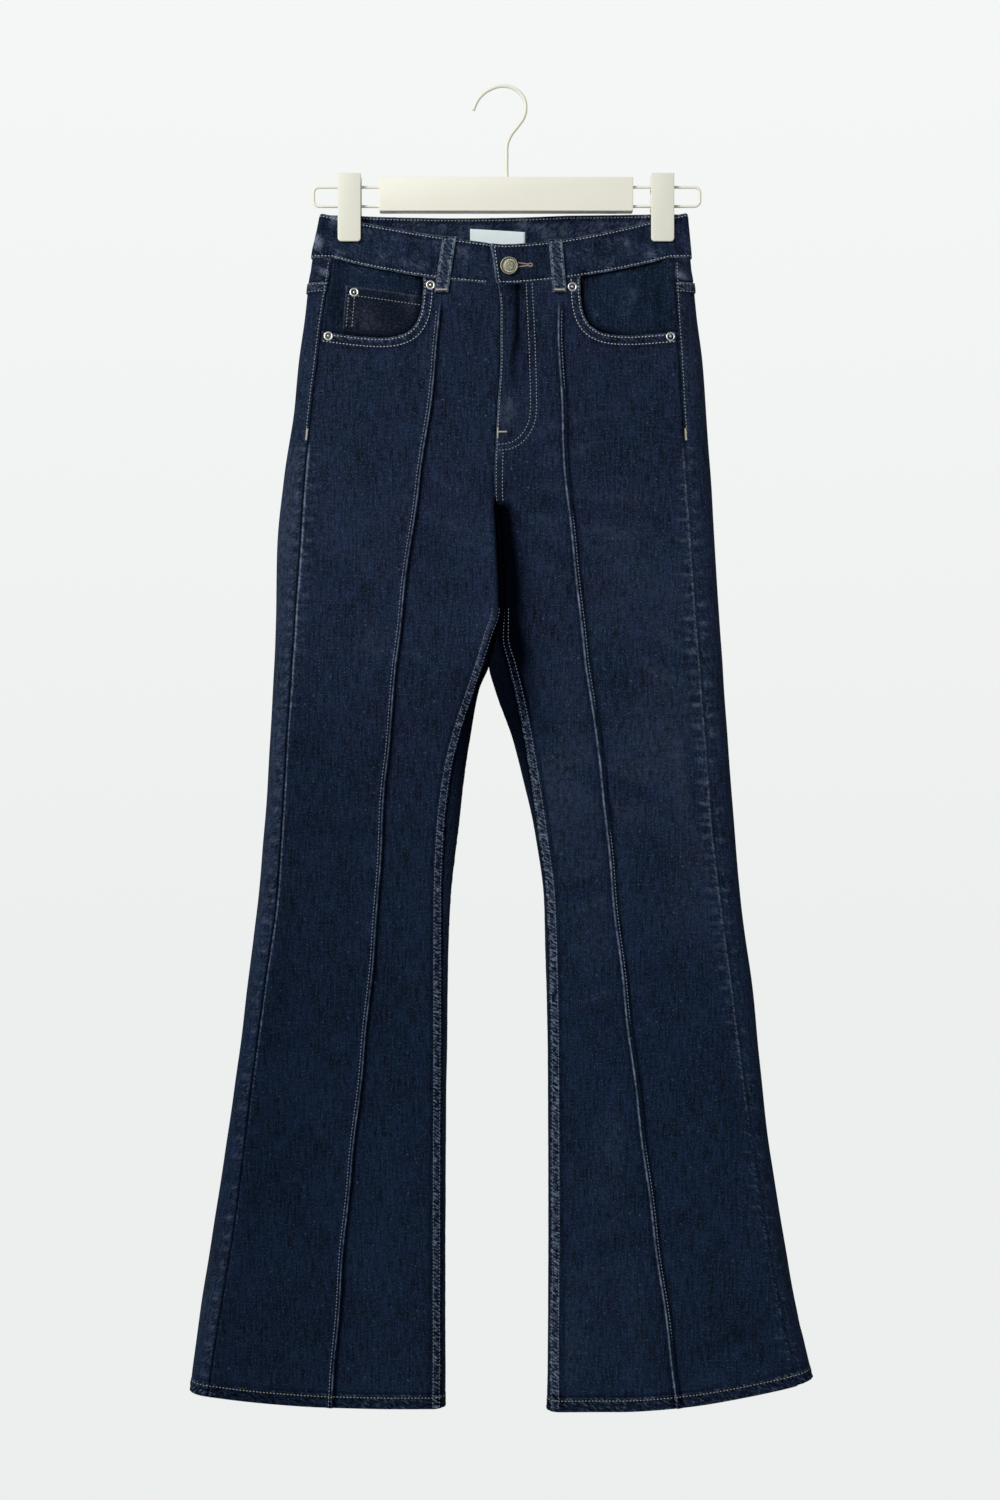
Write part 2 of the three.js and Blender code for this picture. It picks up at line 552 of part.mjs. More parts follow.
// ---- back pockets -------------------------------------------------------------------
const SEAT_POCKET = { outer: 2.5, width: 146, taper: 9, top: -247, slope: 9, height: 128, point: 24, wall: 1.2 };
for (const leg of LEG_NAMES) {
  const dir = inwardOf(leg);
  const grid = [0, 0.12, 0.4, 0.7, 1].map((t) => {
    const row = [0, 0.04, 0.25, 0.5, 0.75, 1].map((s) => {
      const width = SEAT_POCKET.width - 2 * SEAT_POCKET.taper * t;
      const slant = SEAT_POCKET.slope * s;
      const point = SEAT_POCKET.point * (1 - Math.abs(2 * s - 1)) * t;
      const z = SEAT_POCKET.top - slant - SEAT_POCKET.height * t - point;
      const outerX = LEG[leg].out(SEAT_POCKET.top) + dir * (SEAT_POCKET.outer + SEAT_POCKET.taper * t);
      const x = outerX + dir * width * s;
      return wallPoint(leg, 'back', x, z, SEAM_GAP + SEAT_POCKET.wall, -DENIM / 2);
    });
    return leg === 'left' ? row.reverse() : row;
  });
  add(`back_pocket_${leg}`, fitted(wall(grid), [BACK[leg]]));
}

// ---- fly ----------------------------------------------------------------------------
// Behind the lap lie the closed zip and, behind that, the shield.
const ZIP = { half: 13, top: -190, bottom: -322, wall: 1 };
const zipUnder = -DENIM - SEAM_GAP;
function flyStrip(from, to, top, bottom, outside, thick) {
  const middle = (top + bottom) / 2;
  const grid = [top, middle, bottom].map((z) => [from, (from + to) / 2, to].map((d) => {
    const x = LEG.right.seam(z) + d;
    const leg = x < LEG.right.seam(z) ? 'left' : 'right';
    return wallPoint(leg, 'front', x, z, outside, outside - thick);
  }));
  return wall(grid);
}
add('zip_tape', flyStrip(-ZIP.half, ZIP.half, ZIP.top, ZIP.bottom, zipUnder, ZIP.wall));
const shieldUnder = zipUnder - ZIP.wall - 3;
add('fly_shield', flyStrip(-20, FLY.width - 4, ZIP.top - 2, FLY.bottom - 4, shieldUnder, DENIM));
{
  const z = ZIP.top - 12;
  const at = onForm('right', 'front', LEG.right.seam(z), z);
  const slider = new THREE.BoxGeometry(8, 2.2, 10);
  const tab = new THREE.BoxGeometry(5, 1, 22);
  slider.translate(at.x, at.y - zipUnder + ZIP.wall + SEAM_GAP + 1.1, z);
  tab.translate(at.x, at.y - zipUnder + ZIP.wall + SEAM_GAP + 0.7, z - 15);
  add('zip_slider', toGeometry(toSolid(slider).add(toSolid(tab))), brass);
}

// ---- studs --------------------------------------------------------------------------
/** Turned piece on the cloth at x and z, its axis along the cloth's normal. */
function stud(name, profile, x, z, lift, finish) {
  const leg = x < LEG.left.inn(z) ? 'left' : 'right';
  const normal = normalAt(leg, 'front', x, z);
  const turned = new THREE.LatheGeometry(profile.map(([r, h]) => new THREE.Vector2(r, h)), 14);
  const mesh = add(name, mergeVertices(turned), finish);
  mesh.position.copy(onForm(leg, 'front', x, z)).addScaledVector(normal, lift);
  mesh.quaternion.setFromUnitVectors(new THREE.Vector3(0, 1, 0), normal);
}
const RIVET = [[0, 0], [4.4, 0], [4.2, 0.8], [1.8, 0.7], [0, 1.5]];
const RIVETS = [
  { name: 'rivet_left_inner', x: -67.5, z: -188.5, lift: SEAM_GAP + 1.3 },
  { name: 'rivet_left_outer', x: -163, z: -236, lift: SEAM_GAP },
  { name: 'rivet_coin', x: -139.3, z: -193.8, lift: SEAM_GAP },
  { name: 'rivet_right_inner', x: 64.8, z: -190, lift: SEAM_GAP + 0.2 },
  { name: 'rivet_right_outer', x: 156.5, z: -236.5, lift: SEAM_GAP },
];
for (const { name, x, z, lift } of RIVETS) stud(name, RIVET, x, z, lift, nickel);
const BUTTON = [[0, 0], [5, 0], [5, 1.1], [8.2, 1.3], [8.5, 2.2], [7.6, 3], [5.4, 2.5], [4.6, 2.9], [0, 3.2]];
stud('button', BUTTON, 6.5, -167.5, BAND.proud + SEAM_GAP, agedSilver);

// ---- neck label ---------------------------------------------------------------------
const LABEL = { from: -31, to: 21, top: -131, bottom: -158, wall: 0.8 };
{
  const inside = BAND.proud - BAND.wall - SEAM_GAP;
  const grid = [LABEL.top, LABEL.bottom].map((z, i) => [0, 0.5, 1].map((t) => {
    const x = THREE.MathUtils.lerp(LABEL.to, LABEL.from, t);
    const leg = x < CENTRE ? 'left' : 'right';
    return wallPoint(leg, 'back', x, z - (i ? 0 : 3 * (1 - t)), inside, inside - LABEL.wall);
  }));
  add('label', wall(grid), wovenLabel);
}

// ---- hanger -------------------------------------------------------------------------
const BAR = { from: -116, to: 122, top: -85, bottom: -117, depth: 12, corner: 3 };
const WIRE = { radius: 1.4, upper: -93.5, lower: -111.5, left: -178, right: 185 };
const HOOK = { radius: 1.75, x: 3.4 };

function roundedPlate(from, to, bottom, top, corner, depth, y) {
  const shape = new THREE.Shape();
  shape.moveTo(from + corner, bottom);
  shape.lineTo(to - corner, bottom);
  shape.absarc(to - corner, bottom + corner, corner, -Math.PI / 2, 0);
  shape.lineTo(to, top - corner);
  shape.absarc(to - corner, top - corner, corner, 0, Math.PI / 2);
  shape.lineTo(from + corner, top);
  shape.absarc(from + corner, top - corner, corner, Math.PI / 2, Math.PI);
  shape.lineTo(from, bottom + corner);
  shape.absarc(from + corner, bottom + corner, corner, Math.PI, Math.PI * 1.5);
  const plate = new THREE.ExtrudeGeometry(shape, { depth, bevelEnabled: false, curveSegments: 3 });
  return plate.rotateX(Math.PI / 2).translate(0, y + depth, 0);
}
add('hanger_bar', roundedPlate(BAR.from, BAR.to, BAR.bottom, BAR.top, BAR.corner, BAR.depth,
  -BAR.depth / 2), lacquer);

function rod(path, radius, steps, sides) {
  const section = new THREE.Shape(new THREE.Path().absarc(0, 0, radius, 0, Math.PI * 2).getPoints(sides / 2));
  return new THREE.ExtrudeGeometry(section, { steps, extrudePath: path });
}
for (const side of LEG_NAMES) {
  const dir = side === 'left' ? -1 : 1;
  const root = side === 'left' ? BAR.from - SEAM_GAP : BAR.to + SEAM_GAP;
  const tip = WIRE[side];
  const bend = (WIRE.upper - WIRE.lower) / 2;
  const path = new THREE.CurvePath();
  const at = (x, z) => new THREE.Vector3(x, 0, z);
  path.add(new THREE.LineCurve3(at(root, WIRE.upper), at(tip - dir * bend, WIRE.upper)));
  const corner = 0.55 * bend;
  const middle = (WIRE.upper + WIRE.lower) / 2;
  path.add(new THREE.CubicBezierCurve3(at(tip - dir * bend, WIRE.upper),
    at(tip - dir * (bend - corner), WIRE.upper), at(tip, middle + corner), at(tip, middle)));
  path.add(new THREE.CubicBezierCurve3(at(tip, middle), at(tip, middle - corner),
    at(tip - dir * (bend - corner), WIRE.lower), at(tip - dir * bend, WIRE.lower)));
  path.add(new THREE.LineCurve3(at(tip - dir * bend, WIRE.lower), at(root, WIRE.lower)));
  add(`hanger_wire_${side}`, rod(path, WIRE.radius, 40, 8), lacquer);
}
// The hook's wire: up from the bar, out to the right, over the crown and down to its tip.
const HOOK_ROUTE = [
  { x: HOOK.x, z: BAR.top + SEAM_GAP }, { x: HOOK.x, z: -70 }, { x: 3.4, z: -56 },
  { x: 6, z: -47 }, { x: 13, z: -37 }, { x: 19.6, z: -28 }, { x: 21.2, z: -17 },
  { x: 13, z: -2.6 }, { x: 0, z: HOOK.radius }, { x: -14, z: -2.6 }, { x: -24, z: -12 },
  { x: -28, z: -21 },
];
const hookPath = new THREE.CatmullRomCurve3(HOOK_ROUTE.map(({ x, z }) => new THREE.Vector3(x, 0, z)));
add('hanger_hook', rod(hookPath, HOOK.radius, 40, 8), lacquer);

// Each clip: a front and a back jaw, and the core between them that slides on the wires.
const CLIP = { half: 10.8, top: -82, bottom: -146, corner: 3.5, jaw: 3, grip: PINCH.depth + BAND.proud + 0.5 };
const CORE = { half: 8, top: -88, bottom: -114.5, clear: 0.3 };
for (const side of LEG_NAMES) {
  const x = PINCH[side];
  for (const face of ['front', 'back']) {
    const y = face === 'front' ? -CLIP.grip - CLIP.jaw : CLIP.grip;
    add(`clip_${side}_${face}`, roundedPlate(x - CLIP.half, x + CLIP.half, CLIP.bottom, CLIP.top,
      CLIP.corner, CLIP.jaw, y), lacquer);
  }
  const depth = 2 * (CLIP.grip - SEAM_GAP);
  const block = toSolid(new THREE.BoxGeometry(2 * CORE.half, depth, CORE.top - CORE.bottom)
    .translate(x, 0, (CORE.top + CORE.bottom) / 2));
  const bores = [WIRE.upper, WIRE.lower].map((z) => toSolid(
    new THREE.CylinderGeometry(WIRE.radius + CORE.clear, WIRE.radius + CORE.clear, 40, 12)
      .rotateZ(Math.PI / 2).translate(x, 0, z)));
  add(`clip_${side}_core`, toGeometry(block.subtract(bores[0]).subtract(bores[1])), lacquer);
}

export default jeans;
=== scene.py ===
import math

import bmesh
import bpy
import numpy as np
from mathutils import Matrix, Vector


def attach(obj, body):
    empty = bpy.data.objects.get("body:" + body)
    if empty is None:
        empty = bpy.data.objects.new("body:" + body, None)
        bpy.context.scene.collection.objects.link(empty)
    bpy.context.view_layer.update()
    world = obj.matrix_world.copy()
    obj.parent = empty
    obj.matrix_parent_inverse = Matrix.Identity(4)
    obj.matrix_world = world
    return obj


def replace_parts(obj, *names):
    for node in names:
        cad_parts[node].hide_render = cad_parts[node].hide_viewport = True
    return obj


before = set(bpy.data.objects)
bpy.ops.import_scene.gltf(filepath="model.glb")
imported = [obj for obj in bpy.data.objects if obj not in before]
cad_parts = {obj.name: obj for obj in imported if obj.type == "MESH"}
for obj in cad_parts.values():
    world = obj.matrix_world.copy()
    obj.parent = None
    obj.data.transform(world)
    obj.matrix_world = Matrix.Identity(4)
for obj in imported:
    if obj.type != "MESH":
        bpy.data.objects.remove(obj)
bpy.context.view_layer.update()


# ---- Denim ----
# A 3/1 right-hand twill of about 12 oz with a little stretch: dark indigo warp over a
# grey weft, rinsed once, so only seams and folded edges have started to fade. The face is
# matt with a faint bloom of loose fibre; the inside shows mostly the pale weft.
def linear(hex_colour):
    """sRGB hex to linear RGBA."""
    channels = [int(hex_colour[i:i + 2], 16) / 255 for i in (0, 2, 4)]
    return [c / 12.92 if c <= 0.04045 else ((c + 0.055) / 1.055) ** 2.4 for c in channels] + [1]


def node(tree, kind, links=None, **settings):
    """Adds a node: settings are its own or its sockets' values, links are socket: output
    (or a value, where the socket shares its name with others)."""
    made = tree.nodes.new(kind)
    for key, value in settings.items():
        if hasattr(made, key):
            setattr(made, key, value)
        else:
            made.inputs[key.replace("_", " ")].default_value = value
    for key, output in (links or {}).items():
        if isinstance(output, bpy.types.NodeSocket):
            tree.links.new(output, made.inputs[key])
        else:
            made.inputs[key].default_value = output
    return made


def finish_of(name):
    """A new material of this name, its node tree and its shader."""
    made = bpy.data.materials.new(name)
    made.use_nodes = True
    return made, made.node_tree, made.node_tree.nodes["Principled BSDF"]


TWILL_PITCH = 1.3e-3           # from one diagonal rib of the twill to the next
UNEVEN = {                     # width, length and share in the tone of what is uneven:
    "slub": (1.7e-3, 21e-3, 0.46),     # thicker stretches of the warp yarn
    "weft": (17e-3, 1.5e-3, 0.20),     # the same in the weft, half hidden
    "mottle": (4e-3, 6e-3, 0.20),      # how the dye was taken up
    "cast": (38e-3, 52e-3, 0.0),       # where the dye leans to purple or to teal
    "cloud": (45e-3, 75e-3, 0.15),     # broad light and dark from rinsing
}
NEPS = (8e-3, 0.08)            # how far apart the pale knots of cotton lie, and their size
GATHER = (5.5e-3, 1.9e-3)      # length and width of the slanting puckers of a felled seam


def denim_finish(name, dark, light, worn, fleck, painted_shade_colour):
    """Twill in the cloth's own UV, in metres: u follows the weft and v the warp. Wear above
    0 shows the faded yarn. Below 0 it is painted shade: darker towards the painted shade colour
    and with its gloss taken away, for folds, seams, hollows and the undersides of edges."""
    made, tree, shader = finish_of(name)
    uv = node(tree, "ShaderNodeUVMap").outputs["UV"]
    uneven, tone = {}, 0.0
    for what, (wide, long, share) in UNEVEN.items():
        scaled = node(tree, "ShaderNodeMapping", {"Vector": uv}, Scale=(1 / wide, 1 / long, 1))
        uneven[what] = node(tree, "ShaderNodeTexNoise", {"Vector": scaled.outputs[0]}, Scale=1.0,
                            Detail=2.0, Roughness=0.6).outputs["Fac"]
        tone = node(tree, "ShaderNodeMath", {0: uneven[what], 1: share, 2: tone},
                    operation="MULTIPLY_ADD").outputs[0]
    tone = node(tree, "ShaderNodeMapRange", {"Value": tone}, From_Min=0.41, From_Max=0.59)
    warp = node(tree, "ShaderNodeMix", {"Factor": tone.outputs[0], "A": linear(dark), "B": linear(light)},
                data_type="RGBA")

    # The ribs of the twill, and flecks of weft that show between them.
    turned = node(tree, "ShaderNodeMapping", {"Vector": uv}, Rotation=(0, 0, math.radians(27)))
    twill = node(tree, "ShaderNodeTexWave", {"Vector": turned.outputs[0]},
                 Scale=math.tau / 20 / TWILL_PITCH, Distortion=1.2, Detail=1.0)
    specks = node(tree, "ShaderNodeTexNoise", {"Vector": uv}, Scale=1 / 1.6e-3, Detail=1.0)
    weft = node(tree, "ShaderNodeMapRange", {"Value": specks.outputs["Fac"]}, From_Min=0.56,
                From_Max=0.74)
    flecked = node(tree, "ShaderNodeMath", {0: weft.outputs[0], 1: twill.outputs["Fac"]},
                   operation="MULTIPLY")
    knots = node(tree, "ShaderNodeTexVoronoi", {"Vector": uv}, Scale=1 / NEPS[0])
    near = node(tree, "ShaderNodeMapRange", {"Value": knots.outputs["Distance"]}, From_Min=2 * NEPS[1],
                From_Max=NEPS[1])
    rare = node(tree, "ShaderNodeSeparateColor", {"Color": knots.outputs["Color"]})
    rare = node(tree, "ShaderNodeMapRange", {"Value": rare.outputs["Red"]}, From_Min=0.45, To_Max=0.75)
    flecked = node(tree, "ShaderNodeMath", {0: near.outputs[0], 1: rare.outputs[0], 2: flecked.outputs[0]},
                   operation="MULTIPLY_ADD")
    with_weft = node(tree, "ShaderNodeMix", {"Factor": flecked.outputs[0], "A": warp.outputs["Result"],
                                             "B": linear(fleck)}, data_type="RGBA")

    # Patches lean to purple or to teal. The lower legs are tinted darker and bluer than the
    # thighs as painted shade, where the light falls off down the legs.
    cast = node(tree, "ShaderNodeMix", {"Factor": uneven["cast"], "A": linear("ffe2fa"),
                                        "B": linear("cdf8f0")}, data_type="RGBA")
    with_weft = node(tree, "ShaderNodeMix", {"A": with_weft.outputs["Result"], "B": cast.outputs["Result"]},
                     data_type="RGBA", blend_type="MULTIPLY", Factor=1.0)
    height = node(tree, "ShaderNodeSeparateXYZ",
                  {"Vector": node(tree, "ShaderNodeTexCoord").outputs["Object"]})
    lower = node(tree, "ShaderNodeMapRange", {"Value": height.outputs["Z"]}, From_Min=-0.5,
                 From_Max=-0.9)
    painted_low_leg_shade = node(tree, "ShaderNodeMix", {"Factor": lower.outputs[0], "A": with_weft.outputs["Result"],
                                          "B": linear("cae8ee")}, data_type="RGBA", blend_type="MULTIPLY")

    # Puckers of a shrunk seam lie aslant: their crowns take the faded colour of wear, and the
    # hollows between them take painted shade.
    aslant = node(tree, "ShaderNodeMapping", {"Vector": uv}, Rotation=(0, 0, math.radians(28)))
    aslant = node(tree, "ShaderNodeMapping", {"Vector": aslant.outputs[0]},
                  Scale=(1 / GATHER[0], 1 / GATHER[1], 1))
    puckers = node(tree, "ShaderNodeTexNoise", {"Vector": aslant.outputs[0]}, Scale=1.0, Detail=1.0)
    crown = node(tree, "ShaderNodeMapRange", {"Value": puckers.outputs["Fac"]}, From_Min=0.36,
                 From_Max=0.64, To_Min=-1.0, To_Max=1.0)
    gather = node(tree, "ShaderNodeAttribute", attribute_name="gather").outputs["Fac"]
    gathered = node(tree, "ShaderNodeMath", {0: crown.outputs[0], 1: gather}, operation="MULTIPLY")
    wear_and_shade = node(tree, "ShaderNodeAttribute", attribute_name="wear_and_shade").outputs["Fac"]
    wear_and_shade = node(tree, "ShaderNodeMath", {0: wear_and_shade, 1: gathered.outputs[0]}, operation="ADD").outputs[0]
    rubbed = node(tree, "ShaderNodeMapRange", {"Value": uneven["mottle"]}, From_Min=0.36,
                  From_Max=0.6, To_Min=0.25)
    worn_by = node(tree, "ShaderNodeMath", {0: wear_and_shade, 1: rubbed.outputs[0]}, operation="MULTIPLY",
                   use_clamp=True)
    coloured = node(tree, "ShaderNodeMix", {"Factor": worn_by.outputs[0], "A": painted_low_leg_shade.outputs["Result"],
                                            "B": linear(worn)}, data_type="RGBA")
    # Wear below 0 is painted shade: it mixes the colour towards the painted shade colour.
    darkened = node(tree, "ShaderNodeMath", {0: wear_and_shade, 1: -1.0}, operation="MULTIPLY", use_clamp=True)
    coloured = node(tree, "ShaderNodeMix", {"Factor": darkened.outputs[0], "A": coloured.outputs["Result"],
                                            "B": linear(painted_shade_colour)}, data_type="RGBA")
    tree.links.new(coloured.outputs["Result"], shader.inputs["Base Color"])
    # Where shade is painted, the gloss and the sheen are painted out with it.
    for gloss, amount in (("Specular IOR Level", 0.1), ("Sheen Weight", 0.03)):
        gloss_in_painted_shade = node(tree, "ShaderNodeMapRange", {"Value": darkened.outputs[0]}, To_Min=amount, To_Max=0.0)
        tree.links.new(gloss_in_painted_shade.outputs[0], shader.inputs[gloss])

    raised = node(tree, "ShaderNodeMath", {0: twill.outputs["Fac"], 1: uneven["slub"]}, operation="ADD")
    raised = node(tree, "ShaderNodeMath", {0: raised.outputs[0], 1: uneven["mottle"]}, operation="ADD")
    weave = node(tree, "ShaderNodeBump", {"Height": raised.outputs[0]}, Strength=0.6, Distance=0.12e-3)
    bump = node(tree, "ShaderNodeBump", {"Height": gathered.outputs[0], "Normal": weave.outputs[0]},
                Distance=0.55e-3)
    tree.links.new(bump.outputs[0], shader.inputs["Normal"])
    shader.inputs["Roughness"].default_value = 0.92
    shader.inputs["Sheen Roughness"].default_value = 0.45
    shader.inputs["Sheen Tint"].default_value = linear("aab8d0")
    return made


# The last colour of each denim is the colour of its painted shade.
denim = denim_finish("indigo_denim_twill", "060c18", "1d2940", "727d90", "46546a", "010308")
denim_inside = denim_finish("denim_weft_side", "56647c", "78869c", "8e9bb0", "a4aebd", "3a4558")


# ---- Front panels ----
# Each front is one cut of denim from the waistband to the hem, with a pin tuck sewn down
# its middle, a pocket mouth cut from its top outer corner and, on the wearer's left, the
# fly's lap. It hangs as the front of a flat ring that closes over a fold at each side.
MM = 0.001
DENIM = 1.2                    # thickness of the cloth
SEAM_GAP = 0.3                 # between two pieces of cloth that meet
UNDER = 1.2                    # how far an edge goes on under its neighbour
# Heights: the waistband's and the yoke's seam at the sides, the crotch, where the legs part.
WAIST_SIDE, YOKE_SIDE, CROTCH, APEX = -161, -184, -491, -542
HEM_Z, HEM_DEPTH, HEM_LIFT, HEM_ROW = -1229, 12, 0.5, 10.4
# The form at falling heights: x of each leg's outer fold, seams, tuck and inner fold.
FORM_Z = [-118, -161, -215, -256, -300, -370, -444, -491, -515, -542, -566, -613, -650, -700,
          -763, -838, -914, -1064, -1190, -1245]
FORM = {
    "left": {
        "out": [-171, -180, -186, -191.5, -195.5, -206, -212.5, -213.5, -214.5, -215.5,
                -216.5, -219, -221, -224.5, -229.5, -239.5, -249, -271, -290, -297],
        "side": [-157, -159.5, -167.5, -172.5, -178, -185, -190, -193.5, -195, -197, -198.5,
                 -202, -204, -207, -211.5, -222, -232, -250.5, -270.5, -278],
        "tuck": [-56, -57, -59.5, -63, -68, -78, -88.5, -94.5, -97, -100, -102, -106.5, -110,
                 -113.5, -117, -123.5, -131, -147, -157, -161],
        "seam": [-9, -7.5, -2.5, -2.5, -5, -8, -4.5, -3, -10, -18, -26, -41, -49, -54.5, -57,
                 -57.2, -57.2, -57.8, -57.8, -58.3],
        "inn": [-9, -7.5, -2.5, -2.5, -5, -8, -4.5, -3, -7.5, -13, -22.5, -31, -36.5, -42,
                -49, -52, -53, -54, -54, -54],
    },
    "right": {
        "out": [173, 177, 182, 187, 190, 195.5, 199.5, 203, 204.5, 206.5, 208, 211.5, 214.5,
                218, 223.5, 234, 241, 260.5, 285.5, 299],
        "side": [158.5, 159.5, 161.5, 164, 166.5, 171.5, 177, 180, 182, 184.5, 186, 190,
                 192.5, 196.5, 204, 214, 223.5, 245, 269, 280.5],
        "tuck": [52, 52.5, 52, 53, 55, 58.5, 67, 71.5, 74, 77.5, 81.5, 87.5, 92.5, 97.5,
                 103.5, 112, 121, 140, 157, 163.5],
        "seam": [-9, -7.5, -2.5, -2.5, -5, -8, -4.5, -3, -3, 4.2, 10.3, 20, 26, 33.5, 41, 43.5,
                 44.5, 45, 44.5, 44.5],
        "inn": [-9, -7.5, -2.5, -2.5, -5, -8, -4.5, -3, -7.5, -13, -7.5, 9.5, 19.5, 30, 38.5,
                41, 42, 42.5, 42, 41],
    },
}
# Its half-depths, and the valley by each inner fold: its share of the depth and its width.
DEPTH_Z = [-118, -230, -360, -444, -491, -515, -542, -613, -763, -914, -1139, -1245]
DEPTH = {
    "fore": [12, 13, 13, 12.5, 12, 11.5, 11, 10, 9, 8.5, 10, 12],
    "aft": [10, 12, 14, 13, 12, 11, 10, 9, 8.5, 8, 9, 11],
    "valley": [0, 0, 0, 0.5, 0.62, 0.74, 1, 1, 1, 1, 1, 1],
    "bank_left": [8, 8, 8, 8, 9, 10, 12, 14, 13, 12, 14, 16],
    "bank_right": [24, 24, 24, 24, 24, 22, 18, 14, 13, 12, 14, 16],
}
# Where the clips pinch the waistband, and how far it falls open between them.
PINCH = {"left": -144, "right": 149.5, "half": 11, "depth": 4.2, "fore": 15, "aft": 9}
INWARD = {"left": 1, "right": -1}


def column(heights, values):
    """Smooth curve through a table's column, with no overshoot between two rows."""
    at, value = -np.array(heights, float), np.array(values, float)
    rise = np.diff(value) / np.diff(at)
    slope = np.zeros(len(at))
    slope[0], slope[-1] = rise[0], rise[-1]
    same = rise[:-1] * rise[1:] > 0
    total = np.where(same, rise[:-1] + rise[1:], 1)
    slope[1:-1] = np.where(same, 2 * rise[:-1] * rise[1:] / total, 0)

    def value_at(z):
        s = np.clip(-np.asarray(z, float), at[0], at[-1])
        i = np.clip(np.searchsorted(at, s) - 1, 0, len(at) - 2)
        step, up = at[i + 1] - at[i], value[i + 1] - value[i]
        t = (s - at[i]) / step
        a, b = slope[i] * step - up, up - slope[i + 1] * step
        return value[i] + t * up + t * (1 - t) * (a * (1 - t) + b * t)
    return value_at


EDGES = {leg: {key: column(FORM_Z, row) for key, row in rows.items()} for leg, rows in FORM.items()}
DEPTHS = {key: column(DEPTH_Z, row) for key, row in DEPTH.items()}


def edge(key, right, z):
    """x of an edge or seam of the leg that each point is on."""
    return np.where(right, EDGES["right"][key](z), EDGES["left"][key](z))


def ease(value, start, end):
    """0 at start, 1 at end, and smooth between."""
    t = np.clip((np.asarray(value, float) - start) / (end - start), 0, 1)
    return t * t * (3 - 2 * t)


def quarter(t):
    """Height of a quarter ellipse at a fraction of its length."""
    return np.sqrt(np.clip(1 - (1 - np.clip(t, 0, 1)) ** 2, 0, 1))


def half_depth(right, front, x, z):
    """Half-depth of the form on its front or its back."""
    start, end = PINCH["left"] + PINCH["half"], PINCH["right"] - PINCH["half"]
    open_by = np.sin(np.pi * np.clip((x - start) / (end - start), 0, 1)) ** 0.9
    out = np.abs(x - edge("out", right, z))
    inner = np.abs(x - edge("inn", right, z))
    full = np.where(front, DEPTHS["fore"](z), DEPTHS["aft"](z))
    bank = np.where(right, DEPTHS["bank_right"](z), DEPTHS["bank_left"](z))
    dip = DEPTHS["valley"](z) * (1 - quarter(inner / bank))
    body = full * quarter(out / (full * 1.5)) * (1 - dip)
    falls = np.where(front, PINCH["fore"], PINCH["aft"]) - PINCH["depth"]
    waist = PINCH["depth"] + falls * open_by
    band = waist * quarter(out / (waist * 1.1))
    return band + (body - band) * ease(z, -135, -250)


def on_form(right, front, x, z):
    y = half_depth(right, front, x, z)
    return np.stack([x, np.where(front, -y, y), z], axis=-1)


def normal_at(right, front, x, z):
    """Outward normal of the form, from neighbours along the ring and down it."""
    out, inn = edge("out", right, z), edge("inn", right, z)
    near_out = np.abs(x - out) < np.abs(x - inn)
    rim = np.where(near_out, out, inn)
    closes = near_out | (z <= APEX)
    inward = np.sign(np.where(near_out, inn - out, out - inn))
    reach = np.abs(x - rim)
    soft = 4
    r = (reach + np.sqrt(reach ** 2 + 4 * reach * soft)) / 2

    def across(step):
        turned = closes & (r + step < 0)
        s = np.where(closes, np.abs(r + step), np.maximum(0, r + step))
        return on_form(right, front ^ turned, rim + inward * s * s / (s + soft), z)

    def down(step):
        level = z + step
        at = np.where(near_out, edge("out", right, level), edge("inn", right, level))
        return on_form(right, front, at + inward * reach, level)

    normal = np.cross(across(0.8) - across(-0.8), down(-1.5) - down(1.5))
    normal /= np.maximum(np.linalg.norm(normal, axis=-1, keepdims=True), 1e-9)
    facing = np.where(front, -normal[..., 1], normal[..., 1])
    outward = np.where(np.abs(facing) > 0.15, facing, -normal[..., 0] * inward)
    return np.where((outward < 0)[..., None], -normal, normal)


def laid(relief, right, front, x, z, lift=0.0):
    """Points in metres and normals of cloth that lies on the form with its own relief."""
    x, z = np.broadcast_arrays(np.asarray(x, float), np.asarray(z, float))
    right = np.broadcast_to(right, x.shape)
    front = np.broadcast_to(front, x.shape)
    normal = normal_at(right, front, x, z)
    height = relief(right, front, x, z) + lift
    return (on_form(right, front, x, z) + normal * height[..., None]) * MM, normal


def on_front(right, relief):
    """The place, for x and z, of what lies on a front with its own relief."""
    return lambda x, z: laid(relief, right, True, x, z)


def band_seam(front, x):
    """Lower edge of the waistband."""
    sag = 26 * (1 - np.minimum(1, np.abs(x + 2) / 158) ** 1.7)
    return np.where(front, WAIST_SIDE - sag, WAIST_SIDE - 4 * np.maximum(0, 1 - (x / 175) ** 2))


def hem_line(right, x):
    return np.where(right, -1241 + 30 * np.maximum(0, (x - 110) / 187) ** 1.7,
                    -1238 + 14 * np.maximum(0, (-110 - x) / 187) ** 2)


def row_height(right, row, x, top_edge, top_side):
    """Height of a row of the cloth at x: it bends with the top edge and with the hem."""
    top = (top_edge - top_side) * (1 - np.clip((top_side - row) / 200, 0, 1))
    hem = (hem_line(right, x) - HEM_Z) * np.clip((-1064 - row) / (-1064 - HEM_Z), 0, 1)
    return row + top + hem


def rope(s, phase=0.0):
    """Uneven gathers along a seam that has shrunk: about -1 to 1."""
    return (0.5 * np.sin(s / 1.95 + phase) + 0.32 * np.sin(s / 1.27 + 1.3 + 2 * phase)
            + 0.3 * np.sin(s / 3.3 + 0.4 - phase))


def bump_at(d, width):
    """1 on a line, fading to 0 over a width on both sides."""
    return np.exp(-(d / width) ** 2)


